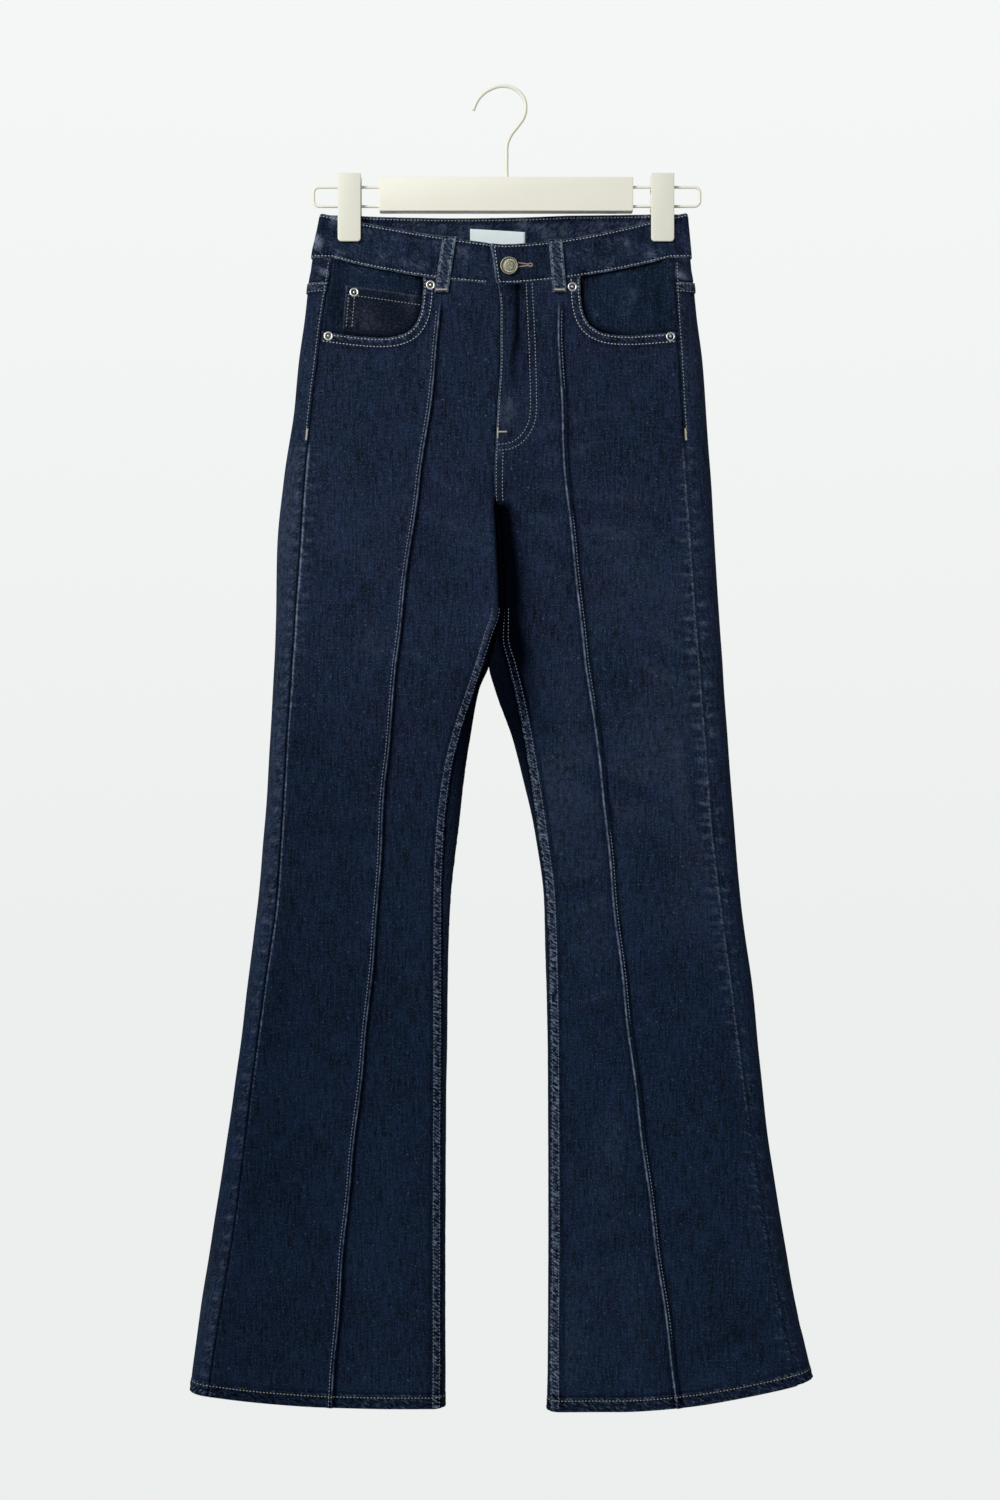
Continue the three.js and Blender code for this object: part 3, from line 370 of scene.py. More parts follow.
# Main creases on the front: ends, half width, depth and how far the middle bows.
FRONT_CREASES = [
    ((14, -184), (10.5, -290), 3.2, 2.2, -1.5), ((4, -196), (2, -250), 3.0, 0.6, 1),
    ((22, -352), (112, -318), 7.0, 1.3, -5), ((14, -384), (140, -404), 8.0, 1.7, 6),
    ((24, -426), (96, -452), 7.0, 1.1, 4), ((-14, -402), (-92, -372), 8.0, 1.0, -4),
    ((-10, -455), (-70, -438), 6.0, 0.8, 3), ((-90, -240), (-74, -318), 8.0, 1.1, 3),
    ((30, -200), (44, -262), 5.0, 0.7, 2), ((-48, -206), (-40, -282), 6.0, 0.6, 2),
    ((96, -246), (120, -306), 9.0, 0.9, -4), ((-214, -694), (-60, -690), 9.0, 1.1, 6),
    ((-194, -748), (-198, -872), 9.0, 1.3, 3), ((-128, -820), (-84, -857), 8.0, 1.0, -3),
    ((-236, -905), (-170, -884), 8.0, 0.9, 3), ((-120, -1002), (-64, -1012), 9.0, 0.7, 3),
    ((-232, -1020), (-240, -1130), 10.0, 1.0, -4), ((48, -884), (160, -868), 9.0, 1.2, -6),
    ((60, -640), (150, -668), 10.0, 0.9, 4), ((52, -760), (96, -742), 8.0, 0.8, 3),
    ((150, -930), (214, -952), 8.0, 0.8, 3), ((206, -878), (232, -1010), 8.0, 1.2, 4),
    ((166, -1190), (276, -1144), 6.5, 2.0, 5), ((236, -1186), (296, -1206), 5.0, 1.4, 2),
    ((60, -1094), (128, -1082), 9.0, 0.7, 3), ((-60, -560), (-150, -548), 9.0, 0.8, 4),
    ((130, -520), (182, -548), 8.0, 1.0, 4), ((-200, -430), (-196, -560), 6.0, 0.9, 2),
    ((-280, -1180), (-196, -1200), 8.0, 0.9, 4), ((176, -600), (188, -700), 7.0, 1.0, 2),
]


def creases(table, x, z):
    """Soft troughs between low ridges, deepest in the middle of their length."""
    total = np.zeros(np.shape(x))
    for (x0, z0), (x1, z1), width, depth, bow in table:
        along = np.array([x1 - x0, z1 - z0], float)
        length = np.hypot(*along)
        along /= length
        t = ((x - x0) * along[0] + (z - z0) * along[1]) / length
        inside = np.clip(t, 0, 1)
        d = (x - x0) * along[1] - (z - z0) * along[0] - bow * 4 * inside * (1 - inside)
        taper = np.clip(np.sin(np.pi * np.clip(t * 0.9 + 0.05, 0, 1)), 0, 1) ** 0.8
        taper = taper * ease(t, -0.12, 0.2) * ease(-t, -1.12, -0.8)
        ridges = bump_at(np.abs(d) - 1.9 * width, 0.9 * width)
        total += depth * taper * (0.45 * ridges - bump_at(d, width))
    return total


def slack(x, z):
    """Broad unevenness of cloth that hangs free."""
    return (0.34 * np.sin(x / 21 + z / 88 + 0.4) + 0.28 * np.sin(z / 27 - x / 61 + 1.9)
            + 0.2 * np.sin(x / 11.5 - z / 43 + 0.7) + 0.14 * np.sin(z / 12.3 + x / 19))


def wander(z):
    """How far a tuck strays from its straight line."""
    return 0.5 * np.sin(z / 17)


TUCK = {"height": 1.9, "top": -206}
FLY = {"width": 32, "bottom": -330}
MOUTHS = {
    "left": [(-74, -160), (-74.5, -182), (-73.5, -243), (-92, -243), (-172, -231.5)],
    "right": [(72, -160), (72, -182), (71.5, -241), (88, -239), (168, -232)],
}


def mouth_line(leg, offset=0.0, count=30):
    """Points down and out along a pocket mouth, moved into the front panel by an offset."""
    top, a, b, c, d = (np.array(p, float) for p in MOUTHS[leg])
    t = np.linspace(0, 1, count)[:, None]
    curve = a * (1 - t) ** 3 + 3 * b * t * (1 - t) ** 2 + 3 * c * t * t * (1 - t) + d * t ** 3
    line = np.vstack([top + (a - top) * np.array([[0], [0.5]]), curve])
    way = np.gradient(line, axis=0)
    way /= np.linalg.norm(way, axis=1, keepdims=True)
    side = np.stack([-way[:, 1], way[:, 0]], axis=1) * INWARD[leg]
    return line + side * offset


def to_line(line, x, z):
    """Distance of points from a line of points, and how far along it they are."""
    points = np.stack([x, z], axis=-1)
    best, where = np.full(np.shape(x), 1e9), np.zeros(np.shape(x))
    run = 0.0
    for a, b in zip(line[:-1], line[1:]):
        way = b - a
        t = np.clip(((points - a) @ way) / (way @ way), 0, 1)
        gap = np.linalg.norm(points - (a + t[..., None] * way), axis=-1)
        length = np.hypot(*way)
        where = np.where(gap < best, run + t * length, where)
        best = np.minimum(best, gap)
        run += length
    return best, where


MOUTH_LINES = {leg: mouth_line(leg) for leg in MOUTHS}


def front_marks(right, x, z):
    """Distances of points on a front panel from its seams, tuck, fly and pocket mouth."""
    inward = np.where(right, -1, 1)
    mouth = np.where(right, to_line(MOUTH_LINES["right"], x, z)[0],
                     to_line(MOUTH_LINES["left"], x, z)[0])
    return {
        "side": (x - edge("side", right, z)) * inward,
        "tuck": (edge("tuck", right, z) + wander(z) - x) * inward,
        "seam": (edge("seam", right, z) - x) * inward,
        "hem": z - hem_line(right, x),
        "mouth": mouth,
    }


def tuck_shape(d, z):
    """The pin tuck is a narrow ridge at the hip; lower down its fold lies over."""
    wide = ease(-z, 320, 400)
    run = 3.2 + 2.6 * wide
    crown = np.clip(1 - d / run, 0, 1) ** (1.4 - 0.6 * wide)
    groove = 0.3 * wide * bump_at(d - 3.4, 0.8)
    shape = np.where(d < 0, np.clip(1 + d / 0.9, 0, 1), crown)
    return TUCK["height"] * (shape - groove) * ease(-z, -TUCK["top"] - 3, -TUCK["top"] + 8)


def deep_fold(z):
    """How far the fold between the legs has opened at a height."""
    return ease(-z, 384, 400) * ease(z, -560, -512)


def hem_relief(d, x):
    """A hem is turned twice and ropes along its stitching; d is the height over its fold."""
    hem = ease(-d, -HEM_DEPTH - 0.8, -HEM_DEPTH + 0.8)
    twist = rope(x * 0.9 + d * 0.8, 0.9)
    return hem * (HEM_LIFT + 0.45 * twist * bump_at(d - 5, 4)
                  - 0.35 * bump_at(d - HEM_ROW, 0.8) - 0.4 * bump_at(d, 0.8))


def front_relief(right, front, x, z):
    m = front_marks(right, x, z)
    height = slack(x, z) * ease(-z, 190, 300) + creases(FRONT_CREASES, x, z)
    height = height * ease(m["side"], -2, 9) + tuck_shape(m["tuck"], z)
    height -= 0.7 * bump_at(m["side"], 1.1) + 1.1 * ease(-m["side"], -0.5, 0.4)
    height += 0.5 * rope(z, 0.6) * bump_at(m["side"] - 3, 4) * ease(-z, 330, 380)
    rim = ease(-m["mouth"], -10.5, -8.5) * (m["side"] > -3) * ease(z, -256, -250)
    rim = rim * ease(band_seam(True, x) - z, 0, 7)
    height += rim * (0.75 - 0.35 * bump_at(m["mouth"] - 8.2, 0.8)
                     - 0.3 * bump_at(m["mouth"] - 1.7, 0.7) - 0.5 * bump_at(m["mouth"], 0.7))
    lap = ease(z, FLY["bottom"] - 8, FLY["bottom"])
    under_lap = lap * (1 - right)
    clear = ease(band_seam(True, x) - z, 0, 7)
    height += lap * right * clear * 0.8 - 0.5 * under_lap * bump_at(m["seam"], 2.5)
    height -= lap * right * (0.35 * bump_at(m["seam"] - 1.6, 0.8) + 0.4 * bump_at(m["seam"], 0.6))
    fell = (1 - lap) * ease(-m["seam"], -9.5, -7.5)
    height += fell * (0.55 - 0.3 * bump_at(m["seam"] - 1.6, 0.7) - 0.3 * bump_at(m["seam"] - 7.4, 0.7))
    height += fell * 0.4 * rope(z, 2.0) * bump_at(m["seam"] - 4, 3) * ease(-z, 480, 560)
    # Under the fly one leg rolls over the other, which drops away into a deep fold.
    rolled = 1.4 * bump_at(m["seam"] - 4, 9) - 1.0 * bump_at(m["seam"], 1.2)
    height += deep_fold(z) * np.where(right, -5.4 * bump_at(m["seam"], 12), rolled)
    height += 1.3 * right * bump_at(m["seam"] - 11, 11) * bump_at(z + 338, 22)
    return height + hem_relief(m["hem"], x)


def front_wear_and_shade(right, front, x, z):
    m = front_marks(right, x, z)
    lap = ease(z, FLY["bottom"] - 8, FLY["bottom"]) * right
    sewn_down = ease(-z, 200, 215)
    # Crease ridges take faded colour as wear, and crease troughs take painted shade.
    wear_and_shade = 0.03 * slack(x, z) + 0.07 * creases(FRONT_CREASES, x, z) - 0.06 * ease(-z, 560, 1000)
    wear_and_shade = wear_and_shade - 0.14 * (1 - right) * ease(-z, 520, 620) * (1 + 0.8 * bump_at(m["side"], 60))
    # The tuck's crest is worn pale and carries a painted highlight; painted shadow falls on its inner side,
    # in its groove and, on the right leg, beyond its stitches.
    crest_wear_and_highlight = 0.85 + 0.25 * rope(z / 4, 0.3)
    wear_and_shade = wear_and_shade + sewn_down * (crest_wear_and_highlight * bump_at(m["tuck"], 0.85)
                               - (1.0 - 0.6 * right) * bump_at(m["tuck"] + 2.1, 1.6)
                               - 0.75 * right * bump_at(m["tuck"] - 4.6, 1.5)
                               - 0.4 * bump_at(m["tuck"] - 1.6, 0.6))
    low = ease(-z, 330, 345)
    pulled = 0.2 + 0.4 * right * bump_at(z + 590, 110) * np.clip(0.4 + rope(z / 7, 1.0), 0, 1)
    light_line = (0.75 - 0.33 * right) * (1 - 0.75 * ease(-z, 860, 1000))
    wear_and_shade = wear_and_shade + low * (light_line * bump_at(m["side"] - 1.2, 0.8)
                         + pulled * np.clip(rope(z * 1.2, 0.6), -0.4, 1) * bump_at(m["side"] - 6.5, 5))
    # Above the side seam's bartack, a line of painted shade lies along the seam.
    wear_and_shade = wear_and_shade - 0.45 * (1 - low) * bump_at(m["side"], 1.6)
    # The mouth's edge is worn pale; a little in from it the front is darker, and a line of painted shade
    # lies at the foot of the rim.
    wear_and_shade = wear_and_shade + 0.4 * bump_at(m["mouth"], 1.1) - 0.12 * bump_at(m["mouth"] - 5, 3)
    wear_and_shade = wear_and_shade - 0.3 * bump_at(m["mouth"] - 10.5, 1.3) * (m["side"] > 0)
    # The lap's edge is worn pale; along the left front's seam lies a line of painted shade.
    wear_and_shade = wear_and_shade + 0.7 * lap * bump_at(m["seam"], 0.9) - 0.5 * (1 - right) * bump_at(m["seam"], 2.2)
    edge_line = 0.5 * bump_at(m["seam"], 0.8) * right * ease(-z, 340, 346) * ease(z, -394, -386)
    wear_and_shade = wear_and_shade + edge_line + 0.16 * right * bump_at(m["seam"] - 10, 6) * bump_at(z + 304, 14)
    # Painted shade lies in the lap's crease, and a painted shadow under the waistband.
    crease_x = 13.7 - 4.3 * ease(-z, 234, 252)
    shade = (0.55 * ease(z, -286, -232) * bump_at(x - crease_x, 1.9)
             + 0.27 * ease(z, -298, -276) * bump_at(x - 12, 11))
    wear_and_shade = wear_and_shade - right * (shade + 0.5 * bump_at(band_seam(True, x) - z - 3, 4) * bump_at(x - 9, 13))
    wear_and_shade = wear_and_shade + 0.04 * right * bump_at(z + 715, 190)
    wear_and_shade = wear_and_shade - 0.07 * right * bump_at(z + 290, 60) * bump_at(x - 125, 50)
    wear_and_shade = wear_and_shade - 0.05 * (1 - right) * bump_at(z + 265, 60) * bump_at(x + 28, 26)
    band = ease(-m["seam"], -8.8, -7.2) * ease(-z, 470, 520)
    wear_and_shade = wear_and_shade + band * (0.12 + 0.1 * (1 - right) * ease(-z, 760, 860))
    # Just outside the felled inseam, a line of painted shade.
    wear_and_shade = wear_and_shade - 0.5 * bump_at(m["seam"] - 9.6, 1.1) * ease(-z, 500, 560)
    # Painted shade fills the fold between the legs, and darkens the seam just above it.
    spread_by = ease(-z, 396, 474)
    wear_and_shade = wear_and_shade - deep_fold(z) * (right * (1.1 * bump_at(m["seam"] - 3, 10 + 7 * spread_by)
                                           + 0.5 * bump_at(m["seam"] - 11, 9 + 9 * spread_by))
                                  + (1 - right) * 0.95 * bump_at(m["seam"], 2.6))
    wear_and_shade = wear_and_shade - 0.3 * bump_at(z + 378, 16) * bump_at(m["seam"] - 2, 16)
    wear_and_shade = wear_and_shade + 0.07 * ease(-m["tuck"], 5, 25) * ease(-z, 860, 1020)
    # Painted shade falls over the right front's inseam below the crotch.
    wear_and_shade = wear_and_shade - 0.8 * right * bump_at(m["seam"] - 6, 17) * ease(-z, 500, 530) * ease(z, -640, -550)
    return np.clip(wear_and_shade + hem_wear(m["hem"], x), -1, 1)


def hem_wear(d, x):
    """A hem rubs at its fold and just over its stitching; between these it is darker, and a dark line runs
    just above it.
    """
    hem = ease(-d, -HEM_DEPTH - 0.5, -HEM_DEPTH + 0.5)
    rubbed = 0.4 * np.clip(0.4 + rope(x * 0.8, 2.2), 0, 1) * bump_at(d - HEM_DEPTH - 0.2, 1.0)
    return (hem * (0.25 * bump_at(d, 1.2) - 0.18) + rubbed
            - 0.5 * bump_at(d - HEM_DEPTH - 2.6, 1.2))


def front_gather(right, front, x, z):
    """Where felled seams, the tuck and the hem pucker."""
    m = front_marks(right, x, z)
    band = ease(-m["seam"], -8.8, -7.2) * ease(-z, 500, 560)
    near_tuck = 0.16 * bump_at(m["tuck"] - 2, 3.5) * ease(-z, 220, 330)
    near_side = 0.2 * bump_at(m["side"] - 1, 4) * ease(-z, 240, 420)
    hem = ease(-m["hem"], -HEM_DEPTH - 2.5, -HEM_DEPTH + 0.5)
    rim = 0.3 * ease(-m["mouth"], -10, -8.5) * (m["side"] > -3) * ease(z, -256, -250)
    return np.clip(0.6 * band + near_tuck + near_side + 0.42 * hem + rim, 0, 1)


def pattern(flat):
    """A flat grid of cloth: flat gives each vertex's place from its column and its row."""
    down, across = flat.shape[0] - 1, flat.shape[1] - 1
    bm = bmesh.new()
    bmesh.ops.create_grid(bm, x_segments=across, y_segments=down, size=0.5)
    for vert in bm.verts:
        col = round((vert.co.x + 0.5) * across)
        row = round((0.5 - vert.co.y) * down)
        vert.co = (*flat[row, col], 0)
    return bm


def smooth_mesh(name, bm):
    mesh = bpy.data.meshes.new(name)
    bm.to_mesh(mesh)
    bm.free()
    mesh.polygons.foreach_set("use_smooth", [True] * len(mesh.polygons))
    return mesh


def added(name, data):
    """A new piece on the one body that there is."""
    made = bpy.data.objects.new(name, data)
    bpy.context.scene.collection.objects.link(made)
    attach(made, "root")
    return made


def unmarked(x, z):
    """No wear and no puckers."""
    return 0 * x


def sewn(name, bm, place, wear_and_shade, wall, finishes=None, gather=unmarked):
    """Takes a flat pattern to its place as a shell with walls, its UV in real metres."""
    mesh = smooth_mesh(name, bm)
    count = len(mesh.vertices)
    flat = np.empty(count * 3)
    mesh.vertices.foreach_get("co", flat)
    flat = flat.reshape(-1, 3)
    points, normals = place(flat[:, 0], flat[:, 1])
    mesh.vertices.foreach_set("co", points.ravel())
    mesh.update()
    face = np.empty(count * 3)
    mesh.vertex_normals.foreach_get("vector", face)
    if (face.reshape(-1, 3) * normals).sum() < 0:
        mesh.flip_normals()
    corner = np.empty(len(mesh.loops), int)
    mesh.loops.foreach_get("vertex_index", corner)
    layer = mesh.uv_layers.new(name="UVMap")
    layer.data.foreach_set("uv", (flat[corner, :2] * MM).ravel())
    # This attribute carries faded wear above 0 and painted shade below 0; gather carries the puckers.
    for what, amount in (("wear_and_shade", wear_and_shade), ("gather", gather)):
        values = np.broadcast_to(amount(flat[:, 0], flat[:, 1]), count).astype(np.float32)
        mesh.attributes.new(what, "FLOAT", "POINT").data.foreach_set("value", values)
    mesh.update()
    for material in finishes or (denim, denim_inside):
        mesh.materials.append(material)
    made = added(name, mesh)
    if wall:
        shell = made.modifiers.new("wall", "SOLIDIFY")
        shell.thickness = wall * MM
        shell.offset = -1
        shell.material_offset = 1
        shell.material_offset_rim = 0
    return made


def spread(cells, stops):
    """Columns of a pattern: so many cells from each stop to the next, row by row."""
    parts = []
    for count, start, end in zip(cells, stops[:-1], stops[1:]):
        t = np.arange(count) / count
        parts.append(start[:, None] + (end - start)[:, None] * t)
    parts.append(stops[-1][:, None])
    return np.hstack(parts)


def front_columns(leg, z):
    """x of each column of a front panel at each height, close together at tuck and seams."""
    inward = INWARD[leg]
    side = EDGES[leg]["side"](z) - inward * UNDER
    fold = EDGES[leg]["tuck"](z) + wander(z)
    seam = EDGES[leg]["seam"](z) - inward * SEAM_GAP / 2 + (1.4 * deep_fold(z) if leg == "left" else 0)
    stops = [side] + [side + inward * (UNDER + d) for d in (-0.3, 0.5, 1.2, 2.2, 3.7, 6, 9)]
    cells = [1] * 7 + [34]
    stops += [fold - inward * d for d in (7, 5.8, 4.6, 3.8, 3.2, 2.6, 1.8, 1, 0.4, 0, -0.45, -0.9, -2)]
    cells += [1] * 12 + [24]
    stops += [seam - inward * d for d in (10, 8.6, 7.8, 7, 5.5, 4, 2.6, 1.7, 0.8, 0)]
    cells += [1] * 9
    return spread(cells, stops)


HEM_ROWS = [13.5, 12.6, 11.6, 10.8, 10, 9, 7.5, 6, 4.5, 3, 1.8, 0.8, 0]
FRONT_ROWS = np.concatenate([np.linspace(WAIST_SIDE, HEM_Z + 16, 330), HEM_Z + np.array(HEM_ROWS)])


def front_flat(leg):
    right = leg == "right"
    rows = FRONT_ROWS
    x = front_columns(leg, rows)
    for _ in range(2):
        z = row_height(right, rows[:, None], x, band_seam(True, x), WAIST_SIDE)
        x = np.stack([front_columns(leg, z[:, j])[:, j] for j in range(x.shape[1])], axis=1)
    z[0] += 3
    return np.stack([x, z], axis=-1)


BELOW, ABOVE = -262, -100      # heights between which the flat fronts' mouths are cut


def cut_mouth(bm, leg):
    """Cuts the pocket mouth out of the flat front, after finer cells are made along it."""
    line = MOUTH_LINES[leg]
    near = [v for v in bm.verts if v.co.y > BELOW]
    gap, _ = to_line(line, np.array([v.co.x for v in near]), np.array([v.co.y for v in near]))
    close = {v for v, g in zip(near, gap) if g < 13}
    fine = [e for e in bm.edges if e.verts[0] in close and e.verts[1] in close]
    bmesh.ops.subdivide_edges(bm, edges=fine, cuts=1, use_grid_fill=True)
    cuts = mouth_line(leg, 0.0, 26)
    cuts[0] += (cuts[0] - cuts[1])
    cuts[-1] += 4 * (cuts[-1] - cuts[-2])
    for a, b in zip(cuts[:-1], cuts[1:]):
        way = Vector((*(b - a), 0))
        length = way.length
        way.normalize()
        start = Vector((*a, 0))
        faces = []
        for face in bm.faces:
            middle = face.calc_center_median()
            if middle.y < BELOW:
                continue
            t = (middle - start).dot(way)
            off = (middle - start).cross(way).length
            if -3 < t < length + 3 and off < 4:
                faces.append(face)
        parts = list({v for f in faces for v in f.verts}) + list({e for f in faces for e in f.edges})
        bmesh.ops.bisect_plane(bm, geom=parts + faces, dist=1e-4, plane_co=start,
                               plane_no=way.cross(Vector((0, 0, 1))))
    beyond = cuts[-1][0] * 1.5
    outline = np.vstack([cuts, [[beyond, cuts[-1][1]], [beyond, ABOVE], [cuts[0][0], ABOVE]]])
    gone = [f for f in bm.faces if inside(outline, f.calc_center_median())]
    bmesh.ops.delete(bm, geom=gone, context="FACES")


def inside(outline, point):
    """Whether a point lies in a closed outline."""
    x, y = outline[:, 0], outline[:, 1]
    u, v = np.roll(x, -1), np.roll(y, -1)
    crosses = (y > point[1]) != (v > point[1])
    at = x + (point[1] - y) * (u - x) / np.where(crosses, v - y, 1)
    return bool(np.count_nonzero(crosses & (point[0] < at)) % 2)


for leg in ("left", "right"):
    right = leg == "right"
    bm = pattern(front_flat(leg))
    cut_mouth(bm, leg)
    panel = sewn(f"denim_front_{leg}", bm, on_front(right, front_relief),
                 lambda x, z: front_wear_and_shade(right, True, x, z), DENIM,
                 gather=lambda x, z: front_gather(right, True, x, z))
    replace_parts(panel, f"front_{leg}")


# ---- Back panels ----
# Each back is cut wider than its front: it turns round the folded outer edge to the side
# seam, and round the inner fold to the inseam. Its top is felled over the yoke, and the
# two backs meet in a felled seat seam.
CENTRE = -5
BACK_CREASES = [
    ((-190, -470), (-60, -452), 9.0, 1.8, 6), ((-180, -505), (-84, -498), 8.0, 1.3, -5),
    ((186, -462), (56, -446), 9.0, 1.7, -6), ((176, -512), (92, -494), 8.0, 1.2, 5),
    ((-20, -430), (-58, -500), 7.0, 1.6, 3), ((14, -426), (60, -498), 7.0, 1.6, -3),
    ((-30, -380), (-96, -420), 8.0, 0.9, 3), ((24, -384), (100, -418), 8.0, 0.9, -3),
    ((-208, -760), (-90, -742), 9.0, 1.5, 6), ((-204, -800), (-110, -790), 8.0, 1.0, -4),
    ((212, -752), (92, -738), 9.0, 1.4, -6), ((214, -806), (120, -792), 8.0, 1.1, 4),
    ((-160, -640), (-70, -626), 9.0, 0.8, 4), ((150, -640), (62, -616), 9.0, 0.8, -4),
    ((-240, -1010), (-232, -1130), 10.0, 1.1, 5), ((236, -1000), (244, -1120), 10.0, 1.1, -5),
    ((-130, -930), (-70, -946), 8.0, 0.9, 3), ((120, -924), (66, -940), 8.0, 0.9, -3),
    ((-270, -1176), (-180, -1150), 7.0, 1.4, 4), ((282, -1160), (190, -1188), 7.0, 1.4, -4),
    ((-120, -860), (-96, -905), 8.0, 0.8, 3), ((150, -860), (136, -912), 8.0, 0.8, -3),
    ((-176, -270), (-166, -360), 8.0, 0.9, 2), ((178, -268), (170, -352), 8.0, 0.9, -2),
]


def arc_out(d, radius):
    """Length along a quarter-round fold and the flat beyond it, at a depth from the fold."""
    turn = radius * np.arccos(1 - np.clip(d / radius, 0, 1))
    return turn + np.maximum(0, d - radius)


def arc_in(s, radius):
    """Depth from the fold at a length along it."""
    turn = radius * (1 - np.cos(np.clip(s / radius, 0, math.pi / 2)))
    return turn + np.maximum(0, s - radius * math.pi / 2)


def folds(leg, z):
    """Radii of the outer and inner folds, and the length over the back between them."""
    outer = 1.5 * DEPTHS["fore"](z)
    inner = np.maximum(0.5, DEPTHS[f"bank_{leg}"](z) * ease(-z, 480, 542))
    width = np.abs(EDGES[leg]["inn"](z) - EDGES[leg]["out"](z))
    return outer, inner, width + (outer + inner) * (math.pi / 2 - 1)


def round_back(leg, a, z):
    """Face and x at a length a from the outer fold: before it and past the inner one, the
    cloth lies on the front."""
    inward = INWARD[leg]
    outer, inner, over = folds(leg, z)
    out, inn = EDGES[leg]["out"](z), EDGES[leg]["inn"](z)
    near = out + inward * arc_in(np.abs(a), outer)
    far = inn - inward * arc_in(np.abs(over - a), inner)
    return (a < 0) | (a > over), np.where(a < over / 2, near, far)


OUTER_STRIP = 30               # more than a back reaches on to the front, at its outer side


def yoke_seam(front, x):
    drop = 46 * np.maximum(0, 1 - np.abs(x - CENTRE) / 182)
    return np.where(front, YOKE_SIDE, YOKE_SIDE - drop)


def back_marks(right, front, x, z):
    """Distances of points on a back from its seams and hem, and whether they lie in front."""
    inward = np.where(right, -1, 1)
    return {
        "side": np.where(front, (edge("side", right, z) - x) * inward, 99),
        "inseam": np.where(front, (x - edge("seam", right, z)) * inward, 99),
        "centre": np.where(front | (z < APEX), 99, np.abs(x - edge("inn", right, z))),
        "yoke": yoke_seam(front, x) - z,
        "hem": z - hem_line(right, x),
        "turned": front & (np.abs(x - edge("out", right, z)) < OUTER_STRIP),
    }


def back_relief(right, front, x, z):
    m = back_marks(right, front, x, z)
    outer_strip = m["turned"]
    height = slack(x + 40, z) * 0.8 * ease(-z, 190, 300)
    height += np.where(front, 0, creases(BACK_CREASES, x, z))
    height *= np.where(front, ease(m["side"], 2, 12), 1)
    allowance = ease(-m["side"], -9, -6.5) * outer_strip
    height += allowance * (0.6 + 0.5 * rope(z, 0.6) * ease(-z, 330, 380))
    height -= outer_strip * (0.3 * bump_at(m["side"] - 3.5, 0.8) * ease(z, -336, -330)
                             + 0.55 * bump_at(m["side"], 0.6))
    height += 0.3 * rope(z / 1.4, 1.9) * outer_strip * bump_at(m["side"] - 6, 4) * ease(-z, 330, 400)
    height -= 0.5 * bump_at(m["inseam"], 1.2) + 1.1 * ease(-m["inseam"], -0.4, 0.5) * (m["inseam"] < 50)
    seat = ease(-m["centre"], -9, -7.5) * right
    height += seat * (0.5 - 0.3 * bump_at(m["centre"] - 1.6, 0.7) - 0.3 * bump_at(m["centre"] - 7.4, 0.7))
    height -= 0.4 * bump_at(m["centre"], 1.2) * (1 - right)
    fell = ease(-m["yoke"], -10, -8.8)
    height += fell * (1.3 - 0.3 * bump_at(m["yoke"] - 1.6, 0.7) - 0.3 * bump_at(m["yoke"] - 8.6, 0.7)
                      + 0.25 * rope(x, 2.6))
    return height + hem_relief(m["hem"], x)


def back_wear_and_shade(right, front, x, z):
    m = back_marks(right, front, x, z)
    outer_strip = m["turned"]
    inner_strip = front & ~outer_strip
    # Crease ridges take faded colour as wear, and crease troughs take painted shade.
    wear_and_shade = 0.03 * slack(x + 40, z) + np.where(front, 0, 0.07 * creases(BACK_CREASES, x, z))
    wear_and_shade = wear_and_shade - 0.06 * ease(-z, 560, 1000)
    low = ease(-z, 330, 345)
    pulled = 0.16 + 0.4 * right * bump_at(z + 570, 120) * np.clip(0.3 + rope(z / 8, 2.4), 0, 1)
    puckers = pulled * np.clip(rope(z / 1.2, 2.3), -0.4, 1) * bump_at(m["side"] - 6, 5)
    # On the outer strip the puckers are worn pale, and a line of painted shade lies along the side seam.
    wear_and_shade = wear_and_shade + outer_strip * (low * puckers + 0.07 * low * (1 - right)
                                 - (0.75 - 0.5 * right * low) * bump_at(m["side"] - 0.6, 1.1))
    # The back's strip that turns round to the inseam is painted in shade, darkest towards the crotch, and a
    # line of painted shade lies along the inseam.
    wear_and_shade = wear_and_shade - inner_strip * (0.12 + 0.78 * ease(z, -760, -590)) - 0.4 * bump_at(m["inseam"], 1.5)
    # The yoke's fell and its edge are worn pale, with a line of painted shade just below the fell.
    wear_and_shade = wear_and_shade + 0.1 * ease(-m["yoke"], -9.5, -8) + 0.35 * bump_at(m["yoke"] - 0.4, 1)
    wear_and_shade = wear_and_shade - 0.4 * bump_at(m["yoke"] - 10.5, 1.2) + 0.12 * ease(-m["centre"], -9, -7)
    return np.clip(wear_and_shade + hem_wear(m["hem"], x), -1, 1)


def back_gather(right, front, x, z):
    """Where the felled seams of the back and its hem pucker."""
    m = back_marks(right, front, x, z)
    outer_strip = m["turned"]
    strip = 0.14 * outer_strip * bump_at(m["side"] - 3, 5)
    fell = 0.25 * ease(-m["yoke"], -10, -8.5) + 0.16 * right * ease(-m["centre"], -9, -7.5)
    hem = 0.42 * ease(-m["hem"], -HEM_DEPTH - 2.5, -HEM_DEPTH + 0.5)
    return np.clip(strip + fell + hem, 0, 1)


